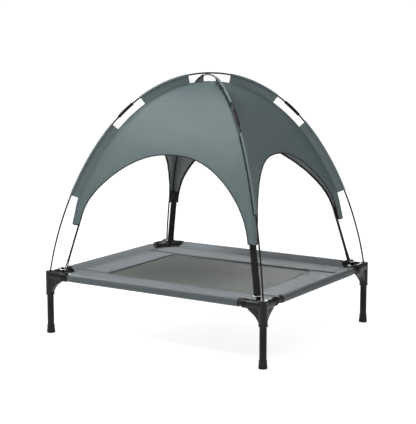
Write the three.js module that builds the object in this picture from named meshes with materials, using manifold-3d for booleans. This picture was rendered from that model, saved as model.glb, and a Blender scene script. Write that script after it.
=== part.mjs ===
// Raised dog bed on four legs, with a domed canopy on two crossed flexible poles.
// Millimetres, +Z up, origin on the floor under the middle, +X along the long side, front at -Y.

import * as THREE from 'three';
import { mergeVertices } from 'three/addons/utils/BufferGeometryUtils.js';
import Module from 'manifold-3d';

const wasm = await Module();
wasm.setup();

// ---- Driving dimensions ----
const INCH = 25.4;
const LENGTH = 28.25 * INCH;
const WIDTH = 24 * INCH;
const HEIGHT = 28.75 * INCH;
const BED_HEIGHT = 7 * INCH;
const MESH_LENGTH = 18.5 * INCH;
const MESH_WIDTH = 13.75 * INCH;

const GAP = 0.3; // clearance between pieces that touch
const ROUND = 20; // sides of a frame tube
const MOULDED_ROUND = 16; // sides of a bracket's sockets

// Steel tubes and their end caps
const TUBE_R = 9.5;
const TUBE_WALL = 1.2;
const BORE_R = TUBE_R + GAP;
const CAP_R = 12;
const CAP_NECK_R = 10.8;
const CAP_HEIGHT = 22;
const CAP_FLOOR = 4;

// Corner bracket, measured from its leg's axis and its flat top
const SOCKET_R = 12;
const SOCKET_BOTTOM = BED_HEIGHT - 68;
const LEG_TOP = BED_HEIGHT - 26;
const RIB_R = 12.8;
const RIB_WIDTH = 3;
const RIB_STARTS = [45, 51, 57];
const ARM_LENGTH = 60;
const RAIL_START = 16;
const RAIL_Z = BED_HEIGHT - RIB_R;
const WEB_THICKNESS = 15;
const SHELF_TOP = BED_HEIGHT - 8;
const SHELF_THICKNESS = 6;
const POLE_HOLE_R = 4.25;
const POLE_HOLE_DEPTH = 20;

// Leg axes, and the diagonal that they and the poles lie on
const LEG_X = LENGTH / 2 - RIB_R;
const LEG_Y = WIDTH / 2 - RIB_R;
const DIAGONAL = Math.hypot(LEG_X, LEG_Y);
const DIAGONAL_X = LEG_X / DIAGONAL;
const DIAGONAL_Y = LEG_Y / DIAGONAL;

// Bed fabric
const SLEEVE_R = 12.2;
const SLEEVE_BORE_R = TUBE_R + 2 * GAP;
const CLOTH = 1.8;
const DECK_TOP = RAIL_Z - 3;
const SLEEVE_FROM_LEG_X = 72;
const SLEEVE_FROM_LEG_Y = 88;
const MESH_HEM = 10;
const MESH_CLOTH = 1;
const MESH_SWELL = 0.5; // the mesh stands this far up into its opening

// Poles: the rise is the height of the curve's axis at the crossing
const POLE_R = 2.25;
const POLE_SIDES = 8;
const UPPER_RISE = HEIGHT - POLE_R;
const LOWER_RISE = UPPER_RISE - 2 * POLE_R - GAP;
const POLE_FOOT_Z = BED_HEIGHT - POLE_HOLE_DEPTH / 2;
const POLE_LEAN = THREE.MathUtils.degToRad(8.4);
const FOOT_HANDLE = 238; // how far the leaning lower part pulls the curve
const CROWN_HANDLE = 264; // the same for the level crown
const FERRULE_LENGTH = 55;
const FERRULE_R = 4.4;
const POLE_STEPS = 20; // facets along each third of a pole

// Canopy
const FIN_WIDTH = 22; // pole axis to ridge seam
const FIN_CLOTH = 1;
const FIN_SLEEVE_R = 4;
const FIN_SLEEVE_BORE_R = POLE_R + 2 * GAP;
const CROWN_GAP = 60; // the fins start this far from the crossing
const FERRULE_GAP = 54; // and stop this far each side of a ferrule's middle
const FIN_END = 547; // the lower fins end this far from the crossing
const FIN_STEPS = 6;
const PANEL_CLOTH = 1.2;
const PANEL_SAG = 0.05; // inward sag, as a share of the panel's distance from the middle
const SEAM_CLEARANCE = FIN_CLOTH / 2 + 3 * GAP;
const HEM_Z = 308;
const ARCH_TOP = 515;
const ARCH_SPREAD = 0.925; // half width of the arch as a share of the panel's half width
const ARCH_POWER = 2.4;
const TIP_RADIUS = 3;

// Tie-down strap, ring and peg, as distances from the middle along the diagonal
const STRAP_WIDTH = 18;
const STRAP_CLOTH = 1.2;
const STRAP_TOP = HEM_Z + 34;
const STRAP_INSET = 20; // behind the ridge seam at the top of the strap
const SEAM_END = 7; // the seam points this far outside the ring's inner wire
const RING_WIRE_R = 1.5;
const RING_DEPTH = 15; // between the wire's axes
const RING_WIDTH = 24;
const RING_CORNER_R = 2.5;
const RING_Z = BED_HEIGHT + 4;
const RING_INNER = DIAGONAL - 45;
const PEG_FROM_MIDDLE = RING_INNER + 8.5;
const PEG_SIZE = { along: 5, across: 12, top: BED_HEIGHT + 9 };
const PEG_LIP = { out: 2, height: 3 };

const CORNERS = [
  { name: 'front_left', x: -1, y: -1 },
  { name: 'front_right', x: 1, y: -1 },
  { name: 'rear_right', x: 1, y: 1 },
  { name: 'rear_left', x: -1, y: 1 },
];

// ---- Materials ----
const material = (color, roughness, metalness = 0) =>
  new THREE.MeshStandardMaterial({ color, roughness, metalness });

const blackSteel = material(0x2c2d2b, 0.45, 0.4);
const blackPlastic = material(0x252624, 0.5);
const footRubber = material(0x232422, 0.8);
const bedCloth = material(0x7b8388, 0.9);
const meshCloth = material(0x5c6159, 0.85);
const canopyCloth = material(0x64746f, 0.75);
const webbing = material(0x262826, 0.85);
const fibreglass = material(0x333634, 0.4);
const ferruleMetal = material(0x232524, 0.35, 0.5);
const ringMetal = material(0xb5b8ba, 0.3, 0.9);

// ---- Solids ----
function toSolid(geometry) {
  const bare = geometry.clone();
  bare.deleteAttribute('normal');
  bare.deleteAttribute('uv');
  const merged = mergeVertices(bare, 1e-4);
  const vertProperties = new Float32Array(merged.attributes.position.array);
  const triVerts = new Uint32Array(merged.index.array);
  return new wasm.Manifold(new wasm.Mesh({ numProp: 3, vertProperties, triVerts }));
}

function toGeometry(solid) {
  const mesh = solid.getMesh();
  const geometry = new THREE.BufferGeometry();
  geometry.setAttribute('position', new THREE.BufferAttribute(mesh.vertProperties, 3));
  geometry.setIndex(new THREE.BufferAttribute(mesh.triVerts, 1));
  geometry.computeVertexNormals();
  return geometry;
}

const joined = (geometries) => geometries.map(toSolid).reduce((all, one) => all.add(one));
const box = (x, y, z) => new THREE.BoxGeometry(x, y, z);
const rod = (r, length, sides = ROUND) => new THREE.CylinderGeometry(r, r, length, sides);
const rodX = (r, length, sides) => rod(r, length, sides).rotateZ(Math.PI / 2);
const rodZ = (r, length, sides) => rod(r, length, sides).rotateX(Math.PI / 2);

function ringShape(outer, inner) {
  const shape = new THREE.Shape().absarc(0, 0, outer, 0, 2 * Math.PI);
  shape.holes.push(new THREE.Path().absarc(0, 0, inner, 0, 2 * Math.PI, true));
  return shape;
}

function prism(shape, depth, curveSegments = ROUND / 2) {
  return new THREE.ExtrudeGeometry(shape, { depth, curveSegments, bevelEnabled: false });
}

const steelTube = (length) => prism(ringShape(TUBE_R, TUBE_R - TUBE_WALL), length);

const diagonalAngle = (corner) => Math.atan2(corner.y * DIAGONAL_Y, corner.x * DIAGONAL_X);

const model = new THREE.Group();
model.name = 'dog_bed_with_canopy';

function addPiece(name, geometry, pieceMaterial, position = [0, 0, 0]) {
  const piece = new THREE.Mesh(geometry, pieceMaterial);
  piece.name = name;
  piece.position.set(...position);
  model.add(piece);
  return piece;
}

// ---- Legs ----
function footCap() {
  const profile = [
    [0, 0], [CAP_R - 1, 0], [CAP_R, 1], [CAP_R, 6], [CAP_NECK_R, 14], [CAP_NECK_R, CAP_HEIGHT],
    [BORE_R, CAP_HEIGHT], [BORE_R, CAP_FLOOR], [0, CAP_FLOOR],
  ];
  const points = profile.map(([r, z]) => new THREE.Vector2(r, z));
  return new THREE.LatheGeometry(points, ROUND).rotateX(Math.PI / 2);
}

function addLegs() {
  const bottom = CAP_FLOOR + GAP;
  for (const corner of CORNERS) {
    const place = [corner.x * LEG_X, corner.y * LEG_Y];
    addPiece(`foot_cap_${corner.name}`, footCap(), footRubber, [...place, 0]);
    const tube = steelTube(LEG_TOP - GAP - bottom);
    addPiece(`leg_tube_${corner.name}`, tube, blackSteel, [...place, bottom]);
  }
}

// ---- Corner brackets, drawn with the leg's axis at x = y = 0 and z from the floor ----
function bracketArm(inward, along) {
  const parts = [rodX(SOCKET_R, ARM_LENGTH, MOULDED_ROUND).translate(ARM_LENGTH / 2, 0, 0)];
  for (const start of RIB_STARTS) {
    parts.push(rodX(RIB_R, RIB_WIDTH, MOULDED_ROUND).translate(start + RIB_WIDTH / 2, 0, 0));
  }
  return parts.map((part) => turnToArm(part, inward, along).translate(0, 0, RAIL_Z));
}

function turnToArm(geometry, inward, along) {
  const quarter = along === 'x' ? 0 : Math.PI / 2;
  return geometry.rotateZ(inward > 0 ? quarter : quarter + Math.PI);
}

function bracketWeb(inward, along) {
  const outline = [[0, -12], [44, -12], [43.5, -24.5], [22, -41.5], [12, -56], [0, -56]];
  const web = new THREE.Shape(outline.map(([x, z]) => new THREE.Vector2(x, z)));
  const plate = prism(web, WEB_THICKNESS).translate(0, 0, -WEB_THICKNESS / 2).rotateX(Math.PI / 2);
  return turnToArm(plate, inward, along).translate(0, 0, BED_HEIGHT);
}

function bracketShelf(corner) {
  const outline = [[0, 0], [48, 0], [36, 30], [0, 44]];
  const shelf = new THREE.Shape(outline.map(
    ([x, y]) => new THREE.Vector2(-corner.x * x, -corner.y * y)));
  return prism(shelf, SHELF_THICKNESS).translate(0, 0, SHELF_TOP - SHELF_THICKNESS);
}

function bracketPeg(corner) {
  const height = PEG_SIZE.top - SHELF_TOP + SHELF_THICKNESS / 2;
  const post = box(PEG_SIZE.along, PEG_SIZE.across, height);
  post.translate(0, 0, PEG_SIZE.top - height / 2);
  const lip = box(PEG_SIZE.along + PEG_LIP.out, PEG_SIZE.across, PEG_LIP.height);
  lip.translate(PEG_LIP.out / 2, 0, PEG_SIZE.top - PEG_LIP.height / 2);
  return [post, lip].map((part) => part
    .translate(PEG_FROM_MIDDLE - DIAGONAL, 0, 0)
    .rotateZ(diagonalAngle(corner)));
}

function bracket(corner) {
  const height = BED_HEIGHT - SOCKET_BOTTOM;
  const socket = rodZ(SOCKET_R, height, MOULDED_ROUND).translate(0, 0, SOCKET_BOTTOM + height / 2);
  const body = joined([
    socket,
    ...bracketArm(-corner.x, 'x'), ...bracketArm(-corner.y, 'y'),
    bracketWeb(-corner.x, 'x'), bracketWeb(-corner.y, 'y'),
    bracketShelf(corner), ...bracketPeg(corner),
  ]);
  const legBore = rodZ(BORE_R, 2 * (LEG_TOP - SOCKET_BOTTOM), MOULDED_ROUND)
    .translate(0, 0, SOCKET_BOTTOM);
  const poleHole = rodZ(POLE_HOLE_R, 2 * POLE_HOLE_DEPTH, MOULDED_ROUND).translate(0, 0, BED_HEIGHT);
  const railBore = (inward, along) => turnToArm(
    rodX(BORE_R, ARM_LENGTH, MOULDED_ROUND).translate(RAIL_START + ARM_LENGTH / 2, 0, 0), inward, along,
  ).translate(0, 0, RAIL_Z);
  const bores = [legBore, poleHole, railBore(-corner.x, 'x'), railBore(-corner.y, 'y')];
  return toGeometry(bores.reduce((rest, bore) => rest.subtract(toSolid(bore)), body));
}

function addBrackets() {
  for (const corner of CORNERS) {
    const place = [corner.x * LEG_X, corner.y * LEG_Y, 0];
    addPiece(`corner_bracket_${corner.name}`, bracket(corner), blackPlastic, place);
  }
}

// ---- Rails ----
function addRails() {
  const longRail = 2 * (LEG_X - RAIL_START - GAP);
  const shortRail = 2 * (LEG_Y - RAIL_START - GAP);
  for (const [name, side] of [['front', -1], ['rear', 1]]) {
    const tube = steelTube(longRail).translate(0, 0, -longRail / 2).rotateY(Math.PI / 2);
    addPiece(`long_rail_${name}`, tube, blackSteel, [0, side * LEG_Y, RAIL_Z]);
  }
  for (const [name, side] of [['left', -1], ['right', 1]]) {
    const tube = steelTube(shortRail).translate(0, 0, -shortRail / 2).rotateX(Math.PI / 2);
    addPiece(`short_rail_${name}`, tube, blackSteel, [side * LEG_X, 0, RAIL_Z]);
  }
}

// ---- Bed fabric: two full-length side strips and two end panels around the mesh ----
function bedSheet() {
  const cutX = LEG_X - SLEEVE_FROM_LEG_X;
  const cutY = LEG_Y - SLEEVE_FROM_LEG_Y;
  const outline = new THREE.Shape();
  for (const corner of CORNERS) {
    const nearY = [corner.x * LEG_X, corner.y * cutY];
    const nearX = [corner.x * cutX, corner.y * LEG_Y];
    const [first, last] = corner.x * corner.y > 0 ? [nearY, nearX] : [nearX, nearY];
    outline.lineTo(...first);
    outline.lineTo(...last);
  }
  outline.curves.shift();
  const opening = new THREE.Path([[-1, -1], [-1, 1], [1, 1], [1, -1]].map(
    ([x, y]) => new THREE.Vector2(x * MESH_LENGTH / 2, y * MESH_WIDTH / 2)));
  outline.holes.push(opening);
  return prism(outline, CLOTH).translate(0, 0, DECK_TOP - CLOTH);
}

function railSolids(radius, lengthX, lengthY) {
  const rails = [];
  for (const side of [-1, 1]) {
    rails.push(rodX(radius, lengthX).translate(0, side * LEG_Y, RAIL_Z));
    rails.push(rod(radius, lengthY).translate(side * LEG_X, 0, RAIL_Z));
  }
  return rails;
}

function addBedFabric() {
  const sleeveX = 2 * (LEG_X - SLEEVE_FROM_LEG_X);
  const sleeveY = 2 * (LEG_Y - SLEEVE_FROM_LEG_Y);
  const sleeves = joined([bedSheet(), ...railSolids(SLEEVE_R, sleeveX, sleeveY)]);
  const bores = railSolids(SLEEVE_BORE_R, 2 * LEG_X, 2 * LEG_Y);
  const sheet = bores.reduce((rest, bore) => rest.subtract(toSolid(bore)), sleeves);
  const seamY = MESH_WIDTH / 2;
  const cut = (x, y, sizeX, sizeY) => toGeometry(
    sheet.intersect(toSolid(box(sizeX, sizeY, BED_HEIGHT).translate(x, y, RAIL_Z))));
  const stripWidth = WIDTH / 2 - seamY;
  const endLength = LENGTH / 2;
  for (const [name, side] of [['front', -1], ['rear', 1]]) {
    const strip = cut(0, side * (seamY + GAP / 2 + stripWidth / 2), LENGTH, stripWidth);
    addPiece(`bed_side_strip_${name}`, strip, bedCloth);
  }
  for (const [name, side] of [['left', -1], ['right', 1]]) {
    const panel = cut(side * endLength / 2, 0, endLength, 2 * seamY - GAP);
    addPiece(`bed_end_panel_${name}`, panel, bedCloth);
  }
  addMeshInsert();
}

// Its hem lies under the fabric, and the rest swells a little into the opening.
function addMeshInsert() {
  const hem = box(MESH_LENGTH + 2 * MESH_HEM, MESH_WIDTH + 2 * MESH_HEM, MESH_CLOTH);
  const field = box(MESH_LENGTH - 2 * GAP, MESH_WIDTH - 2 * GAP, MESH_CLOTH + MESH_SWELL);
  const insert = toGeometry(joined([hem, field.translate(0, 0, MESH_SWELL / 2)]));
  addPiece('mesh_insert', insert, meshCloth, [0, 0, DECK_TOP - CLOTH - GAP - MESH_CLOTH / 2]);
}

// ---- Poles: half of each runs from the crossing down to the bottom of its hole ----
function poleHalf(rise) {
  const lean = new THREE.Vector2(-Math.sin(POLE_LEAN), Math.cos(POLE_LEAN));
  const foot = new THREE.Vector2(DIAGONAL, POLE_FOOT_Z);
  const stub = POLE_HOLE_DEPTH / 2 - GAP - POLE_R * Math.sin(POLE_LEAN);
  const path = new THREE.CurvePath();
  path.add(new THREE.CubicBezierCurve(
    new THREE.Vector2(0, rise),
    new THREE.Vector2(CROWN_HANDLE, rise),
    foot.clone().addScaledVector(lean, FOOT_HANDLE),
    foot,
  ));
  path.add(new THREE.LineCurve(foot, foot.clone().addScaledVector(lean, -stub)));
  return path;
}

// A pole stands in the vertical plane of one diagonal. Its arc length counts from the crossing.
function poleFrame(pole, arc) {
  const share = Math.min(Math.abs(arc) / pole.length, 1);
  const point = pole.half.getPointAt(share);
  const tangent = pole.half.getTangentAt(share);
  const side = arc < 0 ? -1 : 1;
  const at = pole.direction.clone().multiplyScalar(side * point.x).setZ(point.y);
  const along = pole.direction.clone().multiplyScalar(tangent.x).setZ(side * tangent.y);
  const across = new THREE.Vector3(-pole.direction.y, pole.direction.x, 0);
  const inward = new THREE.Vector3().crossVectors(across, along);
  return { at, along, across, inward };
}

function makePole(name, rise, corner) {
  const half = poleHalf(rise);
  const direction = new THREE.Vector3(corner.x * DIAGONAL_X, corner.y * DIAGONAL_Y, 0);
  return { name, half, direction, length: half.getLength() };
}

// Extrudes a section along a stretch of a pole: the section's x is inward and its y is across.
function alongPole(pole, shape, from, to, steps, curveSegments) {
  const options = { depth: to - from, steps, curveSegments, bevelEnabled: false };
  const geometry = new THREE.ExtrudeGeometry(shape, options);
  const position = geometry.attributes.position;
  for (let i = 0; i < position.count; i += 1) {
    const frame = poleFrame(pole, from + position.getZ(i));
    const point = frame.at
      .addScaledVector(frame.inward, position.getX(i))
      .addScaledVector(frame.across, position.getY(i));
    position.setXYZ(i, point.x, point.y, point.z);
  }
  geometry.computeVertexNormals();
  return geometry;
}

function addPole(pole, startName, endName) {
  const disc = new THREE.Shape().absarc(0, 0, POLE_R, 0, 2 * Math.PI);
  const half = POLE_SIDES / 2;
  const joint = pole.length / 3;
  const middle = alongPole(pole, disc, -joint + GAP / 2, joint - GAP / 2, POLE_STEPS, half);
  addPiece(`${pole.name}_middle`, middle, fibreglass);
  const start = alongPole(pole, disc, -pole.length, -joint - GAP / 2, POLE_STEPS, half);
  addPiece(`${pole.name}_${startName}`, start, fibreglass);
  const end = alongPole(pole, disc, joint + GAP / 2, pole.length, POLE_STEPS, half);
  addPiece(`${pole.name}_${endName}`, end, fibreglass);
  const sleeve = ringShape(FERRULE_R, POLE_R + 2 * GAP);
  for (const [name, side] of [[startName, -1], [endName, 1]]) {
    const from = side * joint - FERRULE_LENGTH / 2;
    const ferrule = alongPole(pole, sleeve, from, from + FERRULE_LENGTH, 3, 6);
    addPiece(`ferrule_${name}`, ferrule, ferruleMetal);
  }
}

// ---- Ridge fins: a narrow sleeve round the pole, with a web down to the ridge seam ----
function finSection() {
  const half = FIN_CLOTH / 2;
  const opening = Math.asin(half / FIN_SLEEVE_R);
  const section = new THREE.Shape();
  section.moveTo(FIN_WIDTH, half);
  section.absarc(0, 0, FIN_SLEEVE_R, opening, 2 * Math.PI - opening);
  section.lineTo(FIN_WIDTH, -half);
  section.closePath();
  section.holes.push(new THREE.Path().absarc(0, 0, FIN_SLEEVE_BORE_R, 0, 2 * Math.PI, true));
  return section;
}

function addFins(pole, startName, endName) {
  const joint = pole.length / 3;
  const stretches = { upper: [CROWN_GAP, joint - FERRULE_GAP], lower: [joint + FERRULE_GAP, FIN_END] };
  for (const [level, [near, far]] of Object.entries(stretches)) {
    const start = alongPole(pole, finSection(), -far, -near, FIN_STEPS, 4);
    addPiece(`canopy_fin_${level}_${startName}`, start, canopyCloth);
    const end = alongPole(pole, finSection(), near, far, FIN_STEPS, 4);
    addPiece(`canopy_fin_${level}_${endName}`, end, canopyCloth);
  }
}

// ---- Canopy panels ----
// The ridge seam runs beside the pole down to the last fin, then straight to the tie-down ring.
const SEAM_RISE = (UPPER_RISE + LOWER_RISE) / 2;
const SEAM = seamProfile();

function seamProfile() {
  const half = poleHalf(SEAM_RISE);
  const length = half.getLength();
  const samples = 60;
  const points = [];
  for (let i = 0; i <= samples; i += 1) {
    const share = (i / samples) * (FIN_END / length);
    const tangent = half.getTangentAt(share);
    const inward = new THREE.Vector2(tangent.y, -tangent.x);
    points.push(half.getPointAt(share).addScaledVector(inward, FIN_WIDTH));
  }
  points.push(new THREE.Vector2(RING_INNER + SEAM_END, RING_Z));
  return points;
}

function seamRadius(z) {
  const below = Math.max(SEAM.findIndex((point) => point.y <= z), 1);
  const [high, low] = [SEAM[below - 1], SEAM[below]];
  return THREE.MathUtils.mapLinear(z, high.y, low.y, high.x, low.x);
}

function hemHeight(v) {
  const reach = Math.min(Math.abs(v) / ARCH_SPREAD, 1);
  return HEM_Z + (ARCH_TOP - HEM_Z) * Math.sqrt(1 - reach ** ARCH_POWER);
}

// Columns fan out from the crossing: an angle spaces them evenly along the arch.
function panelColumns() {
  const arch = [];
  const steps = 6;
  for (let i = -steps; i <= steps; i += 1) {
    const angle = (i / steps) * Math.PI / 2;
    arch.push(Math.sign(i) * ARCH_SPREAD * Math.abs(Math.sin(angle)) ** (2 / ARCH_POWER));
  }
  return [-1, ...arch, 1];
}

function panelPoint(toSide, halfSpan, v, t) {
  const top = SEAM[0].y;
  const firstRow = 0.02;
  const drop = firstRow + (1 - firstRow) * t;
  const z = top - (top - hemHeight(v)) * drop ** 2;
  const radius = Math.max(seamRadius(z), TIP_RADIUS);
  const edge = 1 - SEAM_CLEARANCE / (radius * DIAGONAL_X * DIAGONAL_Y);
  const across = v * edge;
  const out = toSide * radius * (1 - PANEL_SAG * (1 - v * v));
  return new THREE.Vector3(halfSpan * radius * across, -out, z);
}

function panel(toSide, halfSpan) {
  const columns = panelColumns();
  const rows = 9;
  const step = 1e-3;
  const geometry = new THREE.BoxGeometry(1, 1, 1, columns.length - 1, rows, 1);
  const position = geometry.attributes.position;
  for (let i = 0; i < position.count; i += 1) {
    const v = columns[Math.round((position.getX(i) + 0.5) * (columns.length - 1))];
    const t = 0.5 - position.getY(i);
    const near = t < 0.5 ? step : -step;
    const outer = panelPoint(toSide, halfSpan, v, t);
    const downward = panelPoint(toSide, halfSpan, v, t + near).sub(outer).multiplyScalar(near);
    const across = panelPoint(toSide, halfSpan, v + (v < 0 ? step : -step), t).sub(outer);
    across.multiplyScalar(v < 0 ? 1 : -1);
    const normal = downward.cross(across).normalize();
    outer.addScaledVector(normal, (position.getZ(i) - 0.5) * PANEL_CLOTH);
    position.setXYZ(i, outer.x, outer.y, outer.z);
  }
  geometry.computeVertexNormals();
  return geometry;
}

function addPanels() {
  const sides = [['front', 0], ['right', 1], ['rear', 2], ['left', 3]];
  for (const [name, quarter] of sides) {
    const isLong = quarter % 2 === 0;
    const [toSide, halfSpan] = isLong ? [DIAGONAL_Y, DIAGONAL_X] : [DIAGONAL_X, DIAGONAL_Y];
    const geometry = panel(toSide, halfSpan).rotateZ(quarter * Math.PI / 2);
    addPiece(`canopy_panel_${name}`, geometry, canopyCloth);
  }
}

// ---- Tie-down straps and rings: drawn in the plane of the diagonal, x outward and y up ----
function strapShape() {
  const low = new THREE.Vector2(RING_INNER, RING_Z);
  const high = new THREE.Vector2(seamRadius(STRAP_TOP) - STRAP_INSET, STRAP_TOP);
  const length = high.distanceTo(low);
  const loopR = RING_WIRE_R * Math.SQRT2 + GAP;
  const outerR = loopR + STRAP_CLOTH;
  const neck = 26; // where the two plies of the loop meet
  const shape = new THREE.Shape();
  shape.moveTo(-STRAP_CLOTH, length);
  shape.lineTo(-STRAP_CLOTH, neck);
  shape.lineTo(-outerR, 0);
  shape.absarc(0, 0, outerR, Math.PI, 2 * Math.PI);
  shape.lineTo(STRAP_CLOTH, neck);
  shape.lineTo(STRAP_CLOTH, length);
  shape.closePath();
  const eye = new THREE.Path();
  eye.moveTo(0, neck - 4);
  eye.lineTo(loopR, 0);
  eye.absarc(0, 0, loopR, 0, -Math.PI, true);
  eye.closePath();
  shape.holes.push(eye);
  const lean = Math.atan2(low.x - high.x, high.y - low.y);
  return { shape, lean };
}

function strap(corner) {
  const { shape, lean } = strapShape();
  return prism(shape, STRAP_WIDTH, 6)
    .translate(0, 0, -STRAP_WIDTH / 2)
    .rotateZ(lean)
    .translate(RING_INNER, RING_Z, 0)
    .rotateX(Math.PI / 2)
    .rotateZ(diagonalAngle(corner));
}

function roundedRectangle(path, x, y, radius) {
  const [midX, midY] = [x / 2 - radius, y / 2 - radius];
  path.absarc(midX, midY, radius, 0, Math.PI / 2);
  path.absarc(-midX, midY, radius, Math.PI / 2, Math.PI);
  path.absarc(-midX, -midY, radius, Math.PI, 1.5 * Math.PI);
  path.absarc(midX, -midY, radius, 1.5 * Math.PI, 2 * Math.PI);
  return path;
}

function ring(corner) {
  const [x, y] = [RING_DEPTH, RING_WIDTH];
  const thick = 2 * RING_WIRE_R;
  const shape = roundedRectangle(new THREE.Shape(), x + thick, y + thick, RING_CORNER_R + RING_WIRE_R);
  const inside = roundedRectangle(new THREE.Path(), x - thick, y - thick, RING_CORNER_R - RING_WIRE_R);
  shape.holes.push(inside);
  return prism(shape, thick, 2)
    .translate(RING_INNER + RING_DEPTH / 2, 0, RING_Z - RING_WIRE_R)
    .rotateZ(diagonalAngle(corner));
}

function addTieDowns() {
  for (const corner of CORNERS) {
    addPiece(`strap_${corner.name}`, strap(corner), webbing);
    addPiece(`strap_ring_${corner.name}`, ring(corner), ringMetal);
  }
}

// ---- Assembly ----
addLegs();
addBrackets();
addRails();
addBedFabric();

const [frontLeft, frontRight, rearRight, rearLeft] = CORNERS;
const upperPole = makePole('upper_pole', UPPER_RISE, rearRight);
const lowerPole = makePole('lower_pole', LOWER_RISE, frontRight);
addPole(upperPole, frontLeft.name, rearRight.name);
addPole(lowerPole, rearLeft.name, frontRight.name);
addFins(upperPole, frontLeft.name, rearRight.name);
addFins(lowerPole, rearLeft.name, frontRight.name);
addPanels();
addTieDowns();

export default model;
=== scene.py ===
"""Looks of the raised dog bed and its canopy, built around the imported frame.

Lengths are in mm, apart from those of the stage, the camera and the finishes, which are in metres.
"""

import math

import bmesh
import bpy
import numpy as np
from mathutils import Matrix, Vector


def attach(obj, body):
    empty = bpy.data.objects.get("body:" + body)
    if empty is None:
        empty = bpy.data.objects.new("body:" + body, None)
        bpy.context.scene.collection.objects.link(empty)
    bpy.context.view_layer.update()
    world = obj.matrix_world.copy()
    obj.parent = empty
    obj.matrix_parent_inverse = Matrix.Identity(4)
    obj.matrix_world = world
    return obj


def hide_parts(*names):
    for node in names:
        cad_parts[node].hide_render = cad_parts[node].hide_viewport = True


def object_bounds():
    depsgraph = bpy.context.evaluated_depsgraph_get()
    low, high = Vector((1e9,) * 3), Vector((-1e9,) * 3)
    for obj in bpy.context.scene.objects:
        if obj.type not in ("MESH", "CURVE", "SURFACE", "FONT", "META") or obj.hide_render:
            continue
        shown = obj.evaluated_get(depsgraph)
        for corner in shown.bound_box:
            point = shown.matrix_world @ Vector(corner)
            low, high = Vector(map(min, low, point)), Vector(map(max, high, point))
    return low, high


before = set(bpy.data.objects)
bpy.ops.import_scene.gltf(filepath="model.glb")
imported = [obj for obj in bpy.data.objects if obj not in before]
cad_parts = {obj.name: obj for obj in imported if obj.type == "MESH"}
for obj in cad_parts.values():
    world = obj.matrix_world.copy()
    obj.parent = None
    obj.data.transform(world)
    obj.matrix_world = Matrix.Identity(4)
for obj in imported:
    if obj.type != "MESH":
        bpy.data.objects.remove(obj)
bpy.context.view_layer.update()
MM = 0.001

# ---- Dimensions of the frame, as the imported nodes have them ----
INCH = 25.4
LENGTH, WIDTH, HEIGHT, BED_HEIGHT = 28.25 * INCH, 24 * INCH, 28.75 * INCH, 7 * INCH
MESH_LENGTH, MESH_WIDTH = 18.5 * INCH, 13.75 * INCH
TUBE_R, TUBE_WALL = 9.5, 1.2
GAP = 0.3  # between pieces that touch
BORE_R = TUBE_R + GAP
SOCKET_R, SOCKET_BOTTOM = 12.0, BED_HEIGHT - 68
RIB_R, RIB_FLOOR_R, RIB_WIDTH, RIB_STARTS = 12.8, 11.3, 3.0, (45.0, 51.0, 57.0)
ARM_LENGTH, RAIL_START = 60.0, 16.0
RAIL_Z = BED_HEIGHT - RIB_R
LEG_X, LEG_Y = LENGTH / 2 - RIB_R, WIDTH / 2 - RIB_R
DIAGONAL = math.hypot(LEG_X, LEG_Y)
DIAGONAL_X, DIAGONAL_Y = LEG_X / DIAGONAL, LEG_Y / DIAGONAL
SHELF_TOP, SHELF_THICKNESS = BED_HEIGHT - 8, 6.0
POLE_HOLE_R, POLE_HOLE_DEPTH = 4.25, 20.0
WEB_HALF = 7.5
DECK_TOP = RAIL_Z - 3
SLEEVE_END_Y = LEG_Y - 88
POLE_R, POLE_STUB = 2.25, 9.37
UPPER_RISE = HEIGHT - POLE_R
LOWER_RISE = UPPER_RISE - 4.8
POLE_FOOT_Z, POLE_LEAN = BED_HEIGHT - 10, math.radians(8.4)
FOOT_HANDLE, CROWN_HANDLE = 238.0, 264.0
FERRULE_LENGTH, FERRULE_R, FERRULE_GAP = 55.0, 4.4, 54.0
FIN_WIDTH, FIN_END, CROWN_GAP = 22.0, 547.0, 60.0
PANEL_SAG, HEM_Z, ARCH_TOP, ARCH_SPREAD, ARCH_POWER = 0.05, 308.0, 515.0, 0.925, 2.4
STRAP_WIDTH, STRAP_TOP, STRAP_INSET = 18.0, HEM_Z + 34, 20.0
RING_Z, RING_INNER = BED_HEIGHT + 4, DIAGONAL - 45
RING_DEPTH, RING_WIDTH, RING_CORNER_R, RING_WIRE_R = 15.0, 24.0, 2.5, 1.5
PEG_BACK, PEG_ALONG, PEG_ACROSS, PEG_TOP = 36.5, 5.0, 12.0, BED_HEIGHT + 9
PEG_LIP, PEG_LIP_HEIGHT = 2.0, 3.0
SEAM_END = 7.0  # the ridge seams point this far outside the rings' inner wire

# ---- Edges and ends, finer than the nodes' ----
LEG_TOP, LEG_BOTTOM = BED_HEIGHT - 26 - GAP, 4 + GAP
CRIMP_INSET, CRIMP_WIDTH, CRIMP_DEPTH = 9.0, 1.1, 0.35
ROD_ROUND, ROD_SIDES = 0.8, 24
HALF_GAP = 0.15  # half the space between two pieces that meet

# ---- Cloth as it is sewn ----
DECK_CLOTH, DECK_MIDDLE, FOLD_MIDDLE = 0.9, DECK_TOP - 0.45, DECK_TOP - 1.45
SLEEVE_R, SLEEVE_SEAM = 11.3, 20.0  # round the rail, and the seam this far inside its axis
DECK_SAG, HEM_RISE = 2.2, 0.8
PANEL_CLOTH, BINDING_CLOTH, FIN_CLOTH, HEM_FOLD = 0.8, 0.7, 0.5, 9.5
STRAP_CLOTH, ANCHOR_HEIGHT, ANCHOR_CLOTH = 2.1, 16.0, 1.2
FIN_LOOP_R, FIN_STITCH_INSET, FIN_STITCH_RISE = 3.35, 6.2, 0.9
MESH_HEM, MESH_DROP = 10.0, 2.6  # sewn under the fabric's edge, and this far below the deck's top
HEM_STITCH_INSETS, SLEEVE_STITCH_INSETS = (2.6, 9.0), (22.5, 28.5)
BOX_RISE, BOX_DROP = 46.0, 16.0  # a strap's stitched boxes: above the ring's wire, below the strap's top
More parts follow.
